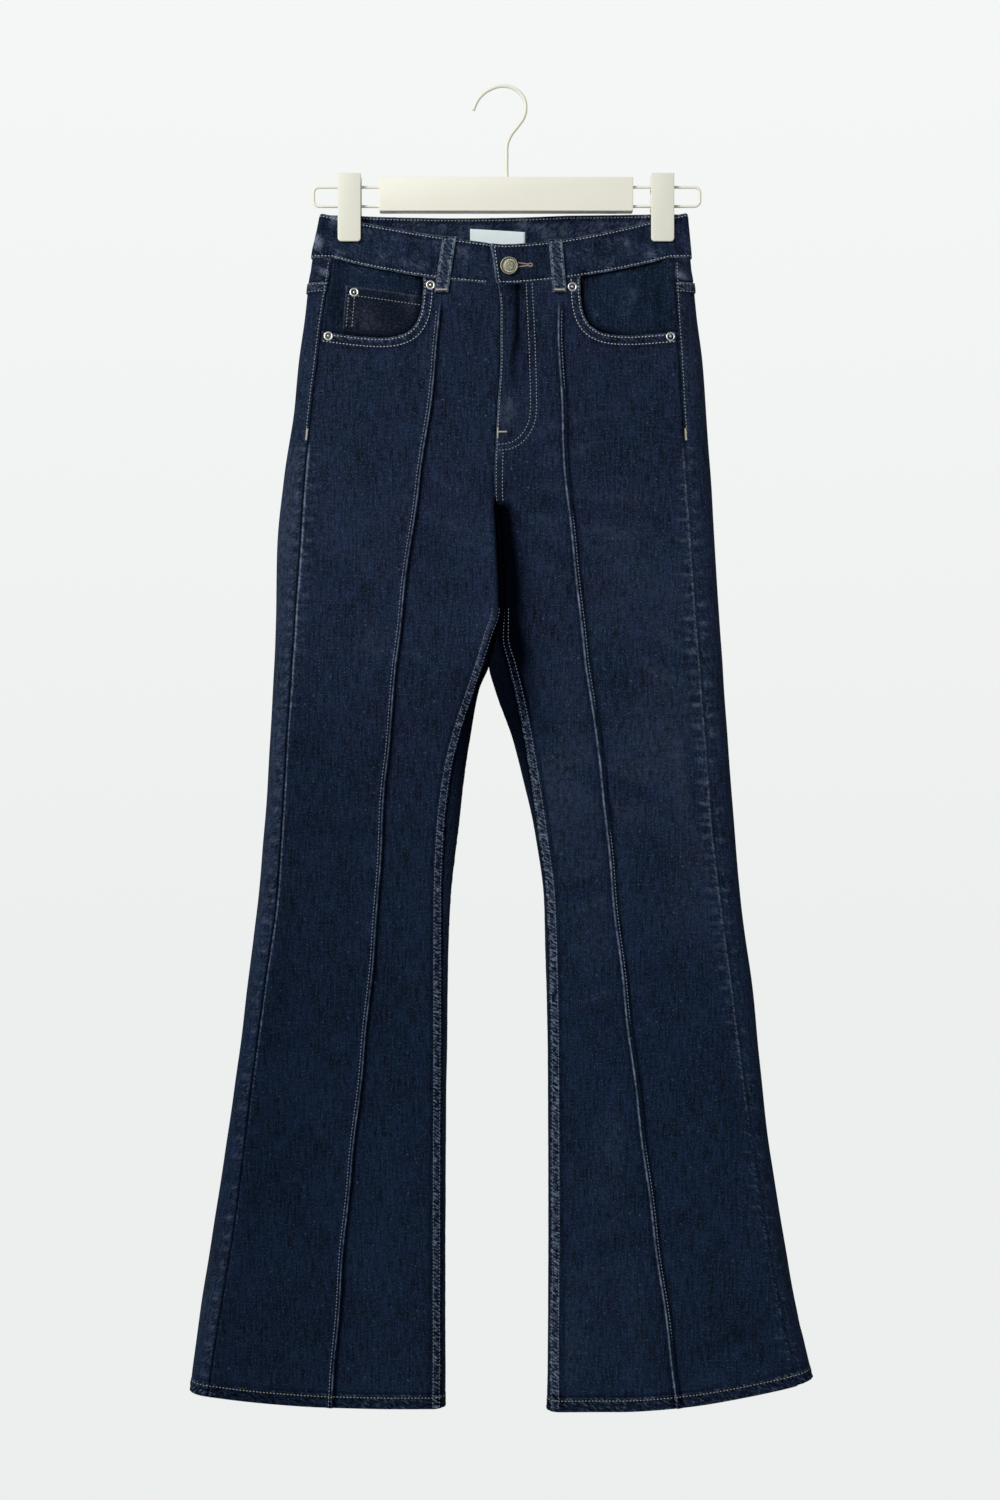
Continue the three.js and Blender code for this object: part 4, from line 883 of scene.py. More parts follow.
def back_columns(leg, z):
    """Lengths from the outer fold: the outer strip, the fold, the back and the inner edge."""
    outer, _, over = folds(leg, z)
    gap = SEAM_GAP / 2
    strip = np.abs(EDGES[leg]["side"](z) - EDGES[leg]["out"](z)) - gap
    stops = [-arc_out(np.maximum(0.5, strip - d), outer) for d in (0, 0.8, 2, 3, 4.2, 5.6, 7, 8.4, 9.6)]
    cells = [1] * 8 + [6]
    stops += [0 * z, 0 * z + 26, over - 26, over - 11, over - 8.4]
    cells += [11, 52, 9, 2]
    last = over - np.where(z >= APEX, gap, 0)
    stops += [over - 7, over - 4, over - 1.5, last]
    cells += [1, 2, 2, 1]
    return spread(cells, stops)


def strip_columns(leg, z):
    """Lengths from the outer fold, of the strip that turns round to the inseam."""
    _, inner, over = folds(leg, z)
    gap = np.where(z >= APEX, SEAM_GAP / 2, 0)
    seam = over + arc_out(np.maximum(0.3, np.abs(EDGES[leg]["seam"](z) - EDGES[leg]["inn"](z))), inner)
    return spread([7, 1, 1], [over + gap, seam, seam + 0.4, seam + UNDER])


def back_flat(leg, rows, columns):
    right = leg == "right"
    a = columns(leg, rows)
    for _ in range(2):
        front, x = round_back(leg, a, np.broadcast_to(rows[:, None], a.shape))
        z = row_height(right, rows[:, None], x, yoke_seam(front, x), YOKE_SIDE)
        a = np.stack([columns(leg, z[:, j])[:, j] for j in range(a.shape[1])], axis=1)
    return np.stack([a, z], axis=-1)


BACK_ROWS = np.concatenate([YOKE_SIDE - np.array([0, 0.8, 1.8, 3, 5, 7, 8, 9, 10]),
                            np.linspace(YOKE_SIDE - 13, HEM_Z + 16, 306), HEM_Z + np.array(HEM_ROWS)])


def joined(first, second):
    """Two flat patterns as one, welded where their edges meet."""
    mesh = bpy.data.meshes.new("joining")
    second.to_mesh(mesh)
    second.free()
    first.from_mesh(mesh)
    bpy.data.meshes.remove(mesh)
    bmesh.ops.remove_doubles(first, verts=first.verts, dist=1e-3)
    return first


def by_length(leg, what):
    """Turns what goes by face, x and z into what goes by length round a back and by z."""
    def at(a, z):
        front, x = round_back(leg, a, z)
        return what(leg == "right", front, x, z)
    return at


def on_back(leg, relief):
    """The place, for lengths and z, of what lies on a back with its own relief."""
    return by_length(leg, lambda *at: laid(relief, *at))


for leg in ("left", "right"):
    main = back_flat(leg, BACK_ROWS, back_columns)
    strip = back_flat(leg, BACK_ROWS[BACK_ROWS < CROTCH - 8], strip_columns)
    panel = sewn(f"denim_back_{leg}", joined(pattern(main), pattern(strip)),
                 on_back(leg, back_relief), by_length(leg, back_wear_and_shade), DENIM,
                 gather=by_length(leg, back_gather))
    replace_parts(panel, f"back_{leg}")


# ---- Yokes ----
# The yoke takes the place of darts: a wedge of denim on each side between the waistband
# and the back, deepest at the centre back. It ends round the fold, at the side seam.
BAND = {"wall": 2.4, "proud": 0.8}


def yoke_relief(right, front, x, z):
    m = back_marks(right, front, x, z)
    outer_strip = m["turned"]
    height = 0.35 * slack(x, z) + outer_strip * ease(-m["side"], -9, -6.5) * 0.6
    height -= 0.9 * ease(-m["yoke"], 2, 14)
    height -= 0.5 * outer_strip * bump_at(m["side"], 0.6) + 0.3 * outer_strip * bump_at(m["side"] - 3.5, 0.8)
    height += ease(-m["centre"], -9, -7.5) * right * 0.5
    return height - 0.5 * bump_at(m["yoke"], 1.5)


def yoke_wear_and_shade(right, front, x, z):
    m = back_marks(right, front, x, z)
    outer_strip = m["turned"]
    # The strip's puckers are worn pale; lines of painted shade lie along the side seam and along the yoke's
    # lower edge, under the back's fell.
    rubbed = np.clip(0.3 + rope(z * 0.7 + x * 0.3, 1.7), -0.3, 1)
    strip = 0.5 * rubbed * bump_at(m["side"] - 6, 7) - 0.6 * bump_at(m["side"] - 0.4, 1.0)
    return np.clip(outer_strip * strip - 0.5 * bump_at(m["yoke"], 1.6), -1, 1)


for leg in ("left", "right"):
    levels = np.linspace(0, 1, 22)
    middle = WAIST_SIDE - 12.0
    a = np.repeat(back_columns(leg, np.array([middle])), len(levels), axis=0)
    z = np.full(a.shape, middle)
    for _ in range(3):
        front, x = round_back(leg, a, z)
        upper = band_seam(front, x) + 3
        z = upper + (yoke_seam(front, x) + SEAM_GAP - upper) * levels[:, None]
        a = np.stack([back_columns(leg, z[:, j])[:, j] for j in range(a.shape[1])], axis=1)
    yoke = sewn(f"denim_yoke_{leg}", pattern(np.stack([a, z], axis=-1)), on_back(leg, yoke_relief),
                by_length(leg, yoke_wear_and_shade), DENIM)
    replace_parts(yoke, f"yoke_{leg}")


# ---- Waistband ----
# One long strip folded double along its top edge, with the tops of all panels caught in
# its turnings. The buttonhole end laps over the button end, and the clips pinch it flat
# at each side while its front falls open.
BAND_HIGH = 38
LAP = {"end": -10, "under": 26, "slope": 6, "slant": 6}
TIP = {"left": float(EDGES["left"]["out"](-140)), "right": float(EDGES["right"]["out"](-140))}
BAND_FOLD = 4.6
# Lengths along the band: the lap's end, the right tip, the left tip, the lap, the button end.
BAND_STOPS = np.cumsum([0, arc_out(TIP["right"] - LAP["end"], BAND_FOLD),
                        2 * arc_out((TIP["right"] - TIP["left"]) / 2, BAND_FOLD),
                        arc_out(LAP["end"] - TIP["left"], BAND_FOLD), LAP["under"] - LAP["end"]])


def band_top(front, x):
    """Upper edge of the waistband: the front sags between the clips."""
    side = np.minimum(1, np.abs(x) / 172)
    sag = np.where(x > 0, 3 * np.sin(np.pi * np.clip(x / 140, 0, 1)), 0)
    back_sag = 2.5 * np.maximum(0, 1 - ((x + 60) / 120) ** 2)
    return np.where(front, -118.5 - 32 * (1 - side ** 1.25) - sag, -118 - back_sag)


def round_band(a, t):
    """Face, x and z at a length a round the band and a fraction t down it."""
    tip_right, back_end, tip_left = BAND_STOPS[1], (BAND_STOPS[1] + BAND_STOPS[2]) / 2, BAND_STOPS[2]
    far = np.where(a < back_end, TIP["right"] - arc_in(np.abs(a - tip_right), BAND_FOLD),
                   TIP["left"] + arc_in(np.abs(a - tip_left), BAND_FOLD))
    front = (a < tip_right) | (a > tip_left)
    x = far
    for _ in range(2):
        z = band_top(front, x) * (1 - t) + band_seam(front, x) * t
        span = (EDGES["right"]["out"](z) - EDGES["left"]["out"](z)) / (TIP["right"] - TIP["left"])
        x = EDGES["left"]["out"](z) + (far - TIP["left"]) * span
    # The lap's end is cut aslant.
    return front, x + LAP["slant"] * (t - 0.1) * ease(-a, -34, 0), z


BAND_CREASES = [
    ((-120, -140), (-70, -154), 4.0, 0.9, 2), ((-128, -150), (-88, -168), 4.0, 0.7, -2),
    ((122, -138), (70, -156), 4.0, 0.9, -2), ((132, -148), (92, -166), 4.0, 0.7, 2),
    ((-176, -126), (-172, -158), 3.0, 0.5, 1), ((30, -160), (58, -172), 4.0, 0.4, 1),
]


def band_relief(right, front, x, z):
    top, seam = band_top(front, x), band_seam(front, x)
    d_top, d_seam = top - z, z - seam
    height = BAND["proud"] + 0.3 * slack(x * 1.7, z * 1.3)
    height += 0.22 * rope(x + 0.7 * z, 1.1) * (bump_at(d_top - 3, 3) + bump_at(d_seam - 3, 3.5))
    height -= 0.3 * bump_at(d_top - 2.4, 0.8) + 0.32 * bump_at(d_seam - 1.7, 0.8)
    height -= 0.9 * bump_at(d_top, 0.6) + 0.7 * bump_at(d_seam, 0.6)
    # The clips dent the band, and soft creases run away from them.
    for side in ("left", "right"):
        reach = np.abs(x - PINCH[side])
        height -= 0.3 * ease(-reach, -16, -9) * ease(z, -152, -146)
    height += np.where(front, creases(BAND_CREASES, x, z), 0)
    return height - np.where(front, 0.6 * bump_at(x - LAP["end"], 0.5) * right, 0)


def band_wear(front, x, z, a):
    top, seam = band_top(front, x), band_seam(front, x)
    edge_wear = 0.4 * bump_at(top - z, 1.3) + 0.5 * bump_at(z - seam, 1.1)
    end = 0.8 * bump_at(a, 1.8) - 0.35 * bump_at(a - 5, 2)
    patches = (np.sin(x / 9.1 + z / 6.3) + np.sin(x / 5.7 - z / 8.2 + 1.7) + np.sin(x / 14.3 + z / 3.9 + 0.6)
               + np.sin(x / 3.1 + z / 21 + 2.2)) / 3
    by = np.where(front, 0.16 + 0.2 * ease(np.abs(x), 105, 160), 0.24)
    by = by + 0.3 * bump_at(x + 170, 14)
    darkened = 0.2 * np.where(front, bump_at(x - 28, 30), -0.35)
    return np.clip(edge_wear + end - darkened + by * patches * np.abs(patches)
                   - 0.25 * bump_at(top - z - 4.2, 1.2) - 0.15 * bump_at(z - seam - 4, 1.4), -1, 1)


stops = [BAND_STOPS[0], 4, *(BAND_STOPS[k] + d for k in (1, 2) for d in (-8, 0, 8)),
         BAND_STOPS[3] - 8, BAND_STOPS[3], BAND_STOPS[4]]
a = spread([4, 88, 9, 9, 150, 9, 9, 76, 5, 16], [np.array([stop]) for stop in stops])[0]
down = np.array([0, 0.5, 1.3, 2, 2.8, 4, 6, 8.5, 11, 13.5, 16, 18.5, 21, 23.5, 26, 28.5, 31, 33.2,
                 34.6, 35.6, 36.4, 37.2, 37.7, BAND_HIGH])
bm = pattern(np.stack(np.meshgrid(a, -down), axis=-1))


def lapped_by(a):
    """How far the button end lies under the lap."""
    slope = ease(a, BAND_STOPS[3] - LAP["slope"] - SEAM_GAP, BAND_STOPS[3] - SEAM_GAP)
    return (BAND["wall"] + SEAM_GAP) * slope


def place(a, h):
    front, x, z = round_band(a, -h / BAND_HIGH)
    right = (x > LAP["end"]) & ((a < BAND_STOPS[2]) | (a >= BAND_STOPS[3]))
    return laid(band_relief, right, front, x, z, -lapped_by(a))


def wear_and_shade(a, h):
    front, x, z = round_band(a, -h / BAND_HIGH)
    return band_wear(front, x, z, a)


def gather(a, h):
    """The band puckers along both of its rows of stitching, and a little between them."""
    return 0.08 + 0.18 * bump_at(-h - 2, 2.6) + 0.25 * bump_at(BAND_HIGH + h - 2, 2.8)


waistband = sewn("denim_waistband", bm, place, wear_and_shade, BAND["wall"], (denim, denim), gather=gather)
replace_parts(waistband, "waistband")


# ---- Pocket facings and coin pocket ----
# Behind each mouth a denim facing closes the pocket. A small coin pocket is sewn on the
# facing at the wearer's right, its foot caught under the mouth's edge. The lining bags
# that hang inside the jeans aren't made.
denim_facing = denim_finish("teal_cast_denim_twill", "050c17", "18283d", "727d90", "46546a", "010308")
denim_coin = denim_finish("purple_cast_denim_twill", "050912", "0e1726", "6f7589", "3d465c", "010308")
FACING = {"edge": -UNDER, "drop": -3, "depth": 24, "beyond": 16, "sunk": 2.8, "wall": 0.9}
COIN = {"from": -147, "to": -70, "top": -187, "slant": 12, "foot": -246, "lean": 14, "wall": 0.7}
FACING_CREASES = [
    ((136, -176), (122, -226), 5.0, 1.4, -3), ((150, -180), (146, -228), 3.0, 0.8, 1),
    ((84, -196), (112, -214), 5.0, 1.3, 3), ((104, -184), (140, -190), 4.0, 1.0, -2),
    ((-158, -190), (-154, -228), 4.0, 0.9, 2), ((-138, -182), (-88, -190), 5.0, 1.2, -3),
]


def facing_relief(right, front, x, z):
    """It is level with the front at the side seam, and sinks away behind the mouth."""
    m = front_marks(right, x, z)
    sunk = 0.4 + (FACING["sunk"] - 0.4) * ease(m["side"], 1, 16) + 1.2 * ease(-m["side"], -0.6, 0.4)
    return 0.25 * slack(x * 1.4, z * 1.4 + 30) - sunk + creases(FACING_CREASES, x, z)


def coin_top(x):
    return COIN["top"] - COIN["slant"] * (x - COIN["from"]) / (COIN["to"] - COIN["from"])


def coin_relief(right, front, x, z):
    gap, _ = to_line(MOUTH_LINES["left"], x, z)
    in_mouth = (x < -72) & (z > -240)
    under = 1 - ease(gap, 0.4, 2.4) * in_mouth
    top = coin_top(x)
    ends = 0.5 * bump_at(top - z, 0.7) + 0.4 * bump_at(x - COIN["from"] + (top - z) / COIN["lean"], 0.8)
    thick = 0.35 * ease(z - top, -9, -8)
    grooves = 0.2 * bump_at(top - z - 7.6, 0.7)
    return -0.75 + 0.15 * slack(x * 2, z * 2) + thick - ends - grooves - 0.75 * under


def facing_painted_shade(right, x, z):
    """Painted shade where the mouth and the waistband overhang it and in two hollows near its sides, with
    crease troughs darker and ridges lighter, and random tone.
    """
    m = front_marks(right, x, z)
    inner = 1 - 0.65 * ease(np.abs(x), 92, 132)
    # Painted shade under the mouth's edge and under the waistband's seam.
    under = 0.9 * inner * bump_at(m["mouth"], 5) + 0.3 * bump_at(band_seam(True, x) - z, 3)
    # Two patches of painted shade, in hollows near the sides.
    sunk = 0.3 * (bump_at(x - 148, 9) * bump_at(z + 210, 24) + bump_at(x + 153, 6) * bump_at(z + 200, 34))
    return np.clip(0.08 * creases(FACING_CREASES, x, z) - under - sunk - 0.1
                   + 0.16 * slack(x * 2.2, z * 2), -1, 1)


for leg in ("left", "right"):
    s, t = np.meshgrid(np.linspace(0, 1, 60), np.linspace(0, 1, 50))
    outer = EDGES[leg]["side"](-200) + INWARD[leg] * FACING["edge"]
    inner = MOUTHS[leg][1][0] + INWARD[leg] * FACING["beyond"]
    x = outer * (1 - s) + inner * s
    top = band_seam(True, x) - FACING["drop"]
    z = top + (MOUTHS[leg][4][1] - FACING["depth"] - top) * t
    x = x + (EDGES[leg]["side"](z) - EDGES[leg]["side"](-200)) * (1 - s)
    right = leg == "right"
    facing = sewn(f"denim_facing_{leg}", pattern(np.stack([x, z], axis=-1)),
                  on_front(right, facing_relief), lambda x, z: facing_painted_shade(right, x, z), FACING["wall"],
                  finishes=(denim_facing, denim_inside),
                  gather=lambda x, z: 0.03 + 0.22 * bump_at(band_seam(True, x) - z - 2, 4))
    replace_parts(facing, f"pocket_facing_{leg}")

s, t = np.meshgrid(np.linspace(0, 1, 44), np.linspace(0, 1, 34))
x = (COIN["from"] - 4 * t) * (1 - s) + COIN["to"] * s
top = COIN["top"] - COIN["slant"] * s
z = top + (COIN["foot"] - top) * t
bm = pattern(np.stack([x, z], axis=-1))


def coin_wear_and_shade(x, z):
    top = coin_top(x)
    gap, _ = to_line(MOUTH_LINES["left"], x, z)
    leaning = x - COIN["from"] + (top - z) / COIN["lean"]
    # The pocket's top and slanting edges are worn pale; painted shade lies where the mouth's edge overhangs
    # it.
    return np.clip(0.35 * bump_at(top - z, 1.2) + 0.3 * bump_at(leaning, 1.2)
                   - 0.7 * bump_at(gap, 4) + 0.1 * slack(x * 2, z * 2), -1, 1)


coin_pocket = sewn("denim_coin_pocket", bm, on_front(False, coin_relief), coin_wear_and_shade, COIN["wall"],
                   finishes=(denim_coin, denim_inside),
                   gather=lambda x, z: 0.03 + 0.25 * bump_at(x - COIN["from"] - 5, 4))
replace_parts(coin_pocket, "coin_pocket")


# ---- Belt loops ----
# Five bands of denim with their edges turned in and held by two rows of stitching. Each is
# caught at the band's top edge, bows out over the band, and is tacked below its seam.
LOOP = {"half": 6.5, "wall": 1.6, "bulge": 1.6, "below": 13, "rows": 4.3}
LOOPS = {
    "front_left": (True, -49.5, -57.5), "front_right": (True, 48.5, 53.0),
    "side_left": (False, -108, -108), "side_right": (False, 100, 100),
    "centre_back": (False, CENTRE, CENTRE),
}


def loop_place(name):
    """Takes a length across and a length down the loop to its place."""
    front, top_x, foot_x = LOOPS[name]
    top = float(band_top(front, np.array(top_x, float))) + 0.6
    seam = float(band_seam(front, np.array(foot_x, float)))
    foot = seam - LOOP["below"]
    rest = BAND["proud"] + SEAM_GAP + LOOP["wall"]
    tacked = LOOP["wall"] + SEAM_GAP + (1.4 if front else 0)
    at = [0, seam - foot - 3, seam - foot + 1, (top - seam) * 0.4 + seam - foot,
          (top - seam) * 0.8 + seam - foot, top - foot]
    lift = [tacked, tacked, rest + 0.7, rest + LOOP["bulge"], rest + LOOP["bulge"] * 0.85, rest]

    def place(d, h):
        z = top + h
        x = top_x + (foot_x - top_x) * (top - z) / (top - foot) + d
        right = x > CENTRE
        up = np.interp(z - foot, at, lift)
        edges = 0.55 * bump_at(np.abs(d) - LOOP["half"], 0.7) + 0.22 * bump_at(np.abs(d) - 4.4, 0.7)
        ends = 0.4 * bump_at(z - foot, 0.8) + 0.4 * bump_at(z - top, 0.8)
        up = up - edges - ends + 0.12 * rope(z * 1.2 + d, top_x)
        return laid(lambda *_: up, right, front, x, z)
    return place, top - foot


for name in LOOPS:
    place, long = loop_place(name)
    across = [-6.5, -5.9, -5.2, -4.4, -3.2, -1.6, 0, 1.6, 3.2, 4.4, 5.2, 5.9, 6.5]
    bm = pattern(np.stack(np.meshgrid(across, -np.linspace(0, long, 42)), axis=-1))
    loop = sewn(f"denim_loop_{name}", bm, place,
                lambda d, h: 0.22 + 0.5 * bump_at(np.abs(d) - 6.0, 1.2) - 0.15 * bump_at(d, 2),
                LOOP["wall"], (denim, denim),
                gather=lambda d, h: 0.2 + 0.3 * bump_at(np.abs(d) - LOOP["rows"], 2))
    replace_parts(loop, f"belt_loop_{name}")


# ---- Back pockets ----
# A five-sided patch on each back, cut from the same denim. Its top edge is hemmed, its
# other edges are turned under, and two rows of stitching hold these to the back.
SEAT = {"outer": 2.5, "width": 146, "taper": 9, "top": -247, "slope": 9, "high": 128, "point": 24}
ACROSS, DOWN = 140, 135        # mean width and height, which turn its fractions into lengths


def seat_flat(leg, s, t):
    """x and z on a back pocket at fractions across from its outer side and down."""
    inward = INWARD[leg]
    drop = SEAT["point"] * (1 - np.abs(2 * s - 1)) * t
    z = SEAT["top"] - SEAT["slope"] * s - SEAT["high"] * t - drop
    outer = EDGES[leg]["out"](SEAT["top"]) + inward * (SEAT["outer"] + SEAT["taper"] * t)
    return outer + inward * (SEAT["width"] - 2 * SEAT["taper"] * t) * s, z


def seat_relief(s, t):
    """Height over the back: its hem, its turned edges and its rows of stitching."""
    away = np.minimum(np.minimum(s, 1 - s) * ACROSS, (1 - t) * DOWN)
    hem = ease(-t * DOWN, -14.6, -13.6)
    return (SEAM_GAP + DENIM + 0.5 * hem - 0.55 * bump_at(away, 0.9) - 0.25 * bump_at(away - 1.9, 0.9)
            - 0.25 * bump_at(away - 7.9, 0.9) - 0.4 * bump_at(t * DOWN, 0.9))


for leg in ("left", "right"):
    s, t = np.meshgrid(np.linspace(0, 1, 63), np.linspace(0, 1, 57))
    bm = pattern(np.stack([s * 100, -t * 100], axis=-1))

    def place(s, t):
        x, z = seat_flat(leg, s / 100, -t / 100)
        return laid(back_relief, leg == "right", False, x, z, seat_relief(s / 100, -t / 100))

    def wear_and_shade(s, t):
        away = np.minimum(np.minimum(s, 100 - s) * ACROSS, (100 + t) * DOWN) / 100
        return 0.3 * bump_at(away, 1.6) + 0.25 * bump_at(t * DOWN / 100, 1.6)

    pocket = sewn(f"denim_seat_pocket_{leg}", bm, place, wear_and_shade, DENIM)
    for item in pocket.data.uv_layers["UVMap"].data:
        item.uv = (item.uv[0] * ACROSS / 100, item.uv[1] * DOWN / 100)
    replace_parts(pocket, f"back_pocket_{leg}")


# ---- Fly ----
# Under the lap lie the closed zip, brass teeth on dark tape, and the denim shield that
# keeps it off the skin. The slider is up, behind the lap.
ZIP = {"half": 13, "top": -190, "bottom": -322, "wall": 1.0, "tooth": 2.4}


def fly_creases(right, front, x, z):
    """What lies behind the fly bends with the front's creases."""
    return creases(FRONT_CREASES, x, z)


def fly_strip(name, start, end, top, bottom, lift, wall, finishes):
    """A strip behind the fly, from start to end across and from top to bottom."""
    s, h = np.meshgrid(np.linspace(start, end, 17), np.linspace(top, bottom, 45))
    bm = pattern(np.stack([s, h], axis=-1))

    def place(s, z):
        x = EDGES["right"]["seam"](z) + s
        return laid(fly_creases, s >= 0, True, x, z, lift)
    return sewn(name, bm, place, unmarked, wall, finishes)


tape, tree, shader = finish_of("navy_cotton_tape")
grain = node(tree, "ShaderNodeTexWave", {"Vector": node(tree, "ShaderNodeUVMap").outputs["UV"]},
             Scale=math.tau / 20 / 1.2e-3, bands_direction="Y")
bump = node(tree, "ShaderNodeBump", {"Height": grain.outputs["Fac"]}, Distance=0.1e-3)
tree.links.new(bump.outputs[0], shader.inputs["Normal"])
shader.inputs["Base Color"].default_value = linear("1c2233")
shader.inputs["Roughness"].default_value = 0.85
zip_tape = fly_strip("zip_tape_woven", -ZIP["half"], ZIP["half"], ZIP["top"], ZIP["bottom"],
                     -DENIM - SEAM_GAP, ZIP["wall"] * 0.6, (tape, tape))
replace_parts(zip_tape, "zip_tape")
shield = fly_strip("denim_fly_shield", -20, FLY["width"] - 4, ZIP["top"] - 2, FLY["bottom"] - 4,
                   -DENIM - SEAM_GAP - ZIP["wall"] - 3, DENIM, (denim, denim))
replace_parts(shield, "fly_shield")


# ---- Topstitching ----
# Lockstitch in a thick polyester thread, about eight stitches to the inch: khaki on the
# seams, grey on the tucks, tan on the hems. Each stitch shows as a short rounded length
# that dips into the cloth at its ends. Bartacks are dense and in a paler thread.
PITCH = 3.2
TACK = {"pitch": 0.55, "wide": 0.62, "high": 0.75, "turn": math.radians(82)}
FINE_TACK = dict(TACK, wide=0.6, high=0.7)
FOOT = -1240                   # rows of stitches on a front reach for this, and stop at the hem
THREAD = {"wide": 0.85, "high": 0.55}


def thread_finish(name, colour, dark):
    """Twisted thread: a fine diagonal ply and a slight lustre."""
    made, tree, shader = finish_of(name)
    where = node(tree, "ShaderNodeTexCoord").outputs["Object"]
    ply = node(tree, "ShaderNodeTexNoise", {"Vector": where}, Scale=1 / 1.1e-3, Detail=1.0)
    tint = node(tree, "ShaderNodeMix", {"Factor": ply.outputs["Fac"], "A": linear(dark),
                                        "B": linear(colour)}, data_type="RGBA")
    tree.links.new(tint.outputs["Result"], shader.inputs["Base Color"])
    bump = node(tree, "ShaderNodeBump", {"Height": ply.outputs["Fac"]}, Distance=0.1e-3)
    tree.links.new(bump.outputs[0], shader.inputs["Normal"])
    shader.inputs["Roughness"].default_value = 0.6
    return made


khaki_thread = thread_finish("khaki_polyester_thread", "a1a8a3", "666d6c")
# A darker copy of the khaki thread, as painted shade on the inseams.
shaded_khaki_thread = thread_finish("shaded_khaki_polyester_thread", "7b8791", "48535f")
stone_thread = thread_finish("stone_polyester_thread", "ccd2ca", "8d9693")
grey_thread = thread_finish("grey_blue_polyester_thread", "98a0aa", "59616f")
tan_thread = thread_finish("golden_tan_polyester_thread", "aea584", "6f6a52")
pale_thread = thread_finish("cream_bartack_thread", "d3cbb6", "8f897a")
pink_thread = thread_finish("rose_tan_buttonhole_thread", "b39c8c", "7d6a60")


def template(bm):
    """The points and faces of a small shape that is repeated in one mesh."""
    bm.verts.index_update()
    made = np.array([v.co for v in bm.verts]), [[v.index for v in f.verts] for f in bm.faces]
    bm.free()
    return made


bm = bmesh.new()
bmesh.ops.create_uvsphere(bm, u_segments=6, v_segments=4, radius=0.5,
                          matrix=Matrix.Rotation(math.radians(90), 4, "Y"))
STITCH = template(bm)


def row(points, normals, pitch=PITCH, long=None, wide=THREAD["wide"], high=THREAD["high"], turn=0.0):
    """Places, directions and sizes of the stitches of one row, all in millimetres."""
    points = points / MM
    run = np.concatenate([[0], np.cumsum(np.linalg.norm(np.diff(points, axis=0), axis=1))])
    count = max(1, round(run[-1] / pitch))
    step = run[-1] / count
    at = (np.arange(count) + 0.5) * step

    def along(values, where):
        return np.stack([np.interp(where, run, values[:, k]) for k in range(3)], axis=1)
    way = along(points, np.minimum(at + step / 2, run[-1])) - along(points, np.maximum(at - step / 2, 0))
    way /= np.linalg.norm(way, axis=1, keepdims=True)
    up = along(normals, at)
    side = np.cross(up, way)
    side /= np.linalg.norm(side, axis=1, keepdims=True)
    up = np.cross(way, side)
    way, side = way * math.cos(turn) + side * math.sin(turn), side * math.cos(turn) - way * math.sin(turn)
    size = (long or 0.6 * step, wide, high)
    return along(points, at) + up * high * 0.22, way, side, up, size


def stitched(name, rows, thread):
    """One mesh of all the stitches of some rows."""
    shape, faces = STITCH
    blocks, polygons, start = [], [], 0
    for middle, way, side, up, size in rows:
        block = (middle[:, None] + way[:, None] * shape[None, :, :1] * size[0]
                 + side[:, None] * shape[None, :, 1:2] * size[1]
                 + up[:, None] * shape[None, :, 2:3] * size[2])
        blocks.append(block.reshape(-1, 3))
        for i in range(len(middle)):
            polygons += [[start + i * len(shape) + k for k in face] for face in faces]
        start += block.shape[0] * len(shape)
    mesh = bpy.data.meshes.new(name)
    mesh.from_pydata((np.vstack(blocks) * MM).tolist(), [], polygons)
    mesh.polygons.foreach_set("use_smooth", [True] * len(mesh.polygons))
    mesh.materials.append(thread)
    added(name, mesh)


def bartack(place, start, end, wide=2.4):
    """Close stitches across a short line; place takes x and z to points and normals."""
    t = np.linspace(0, 1, 24)
    x, z = start[0] + (end[0] - start[0]) * t, start[1] + (end[1] - start[1]) * t
    return row(*place(x, z), long=wide, **TACK)


def round_leg(leg, level, columns, count, line):
    """Lengths and z of a row of stitches that goes round a back and keeps to a line."""
    near = np.array([float(level)])
    a = np.linspace(back_columns(leg, near)[0, 0] + 1, columns(leg, near)[0, -1] - 1, count)
    z = np.full(a.shape, float(level))
    for _ in range(3):
        z = line(*round_back(leg, a, z))
    return a, z


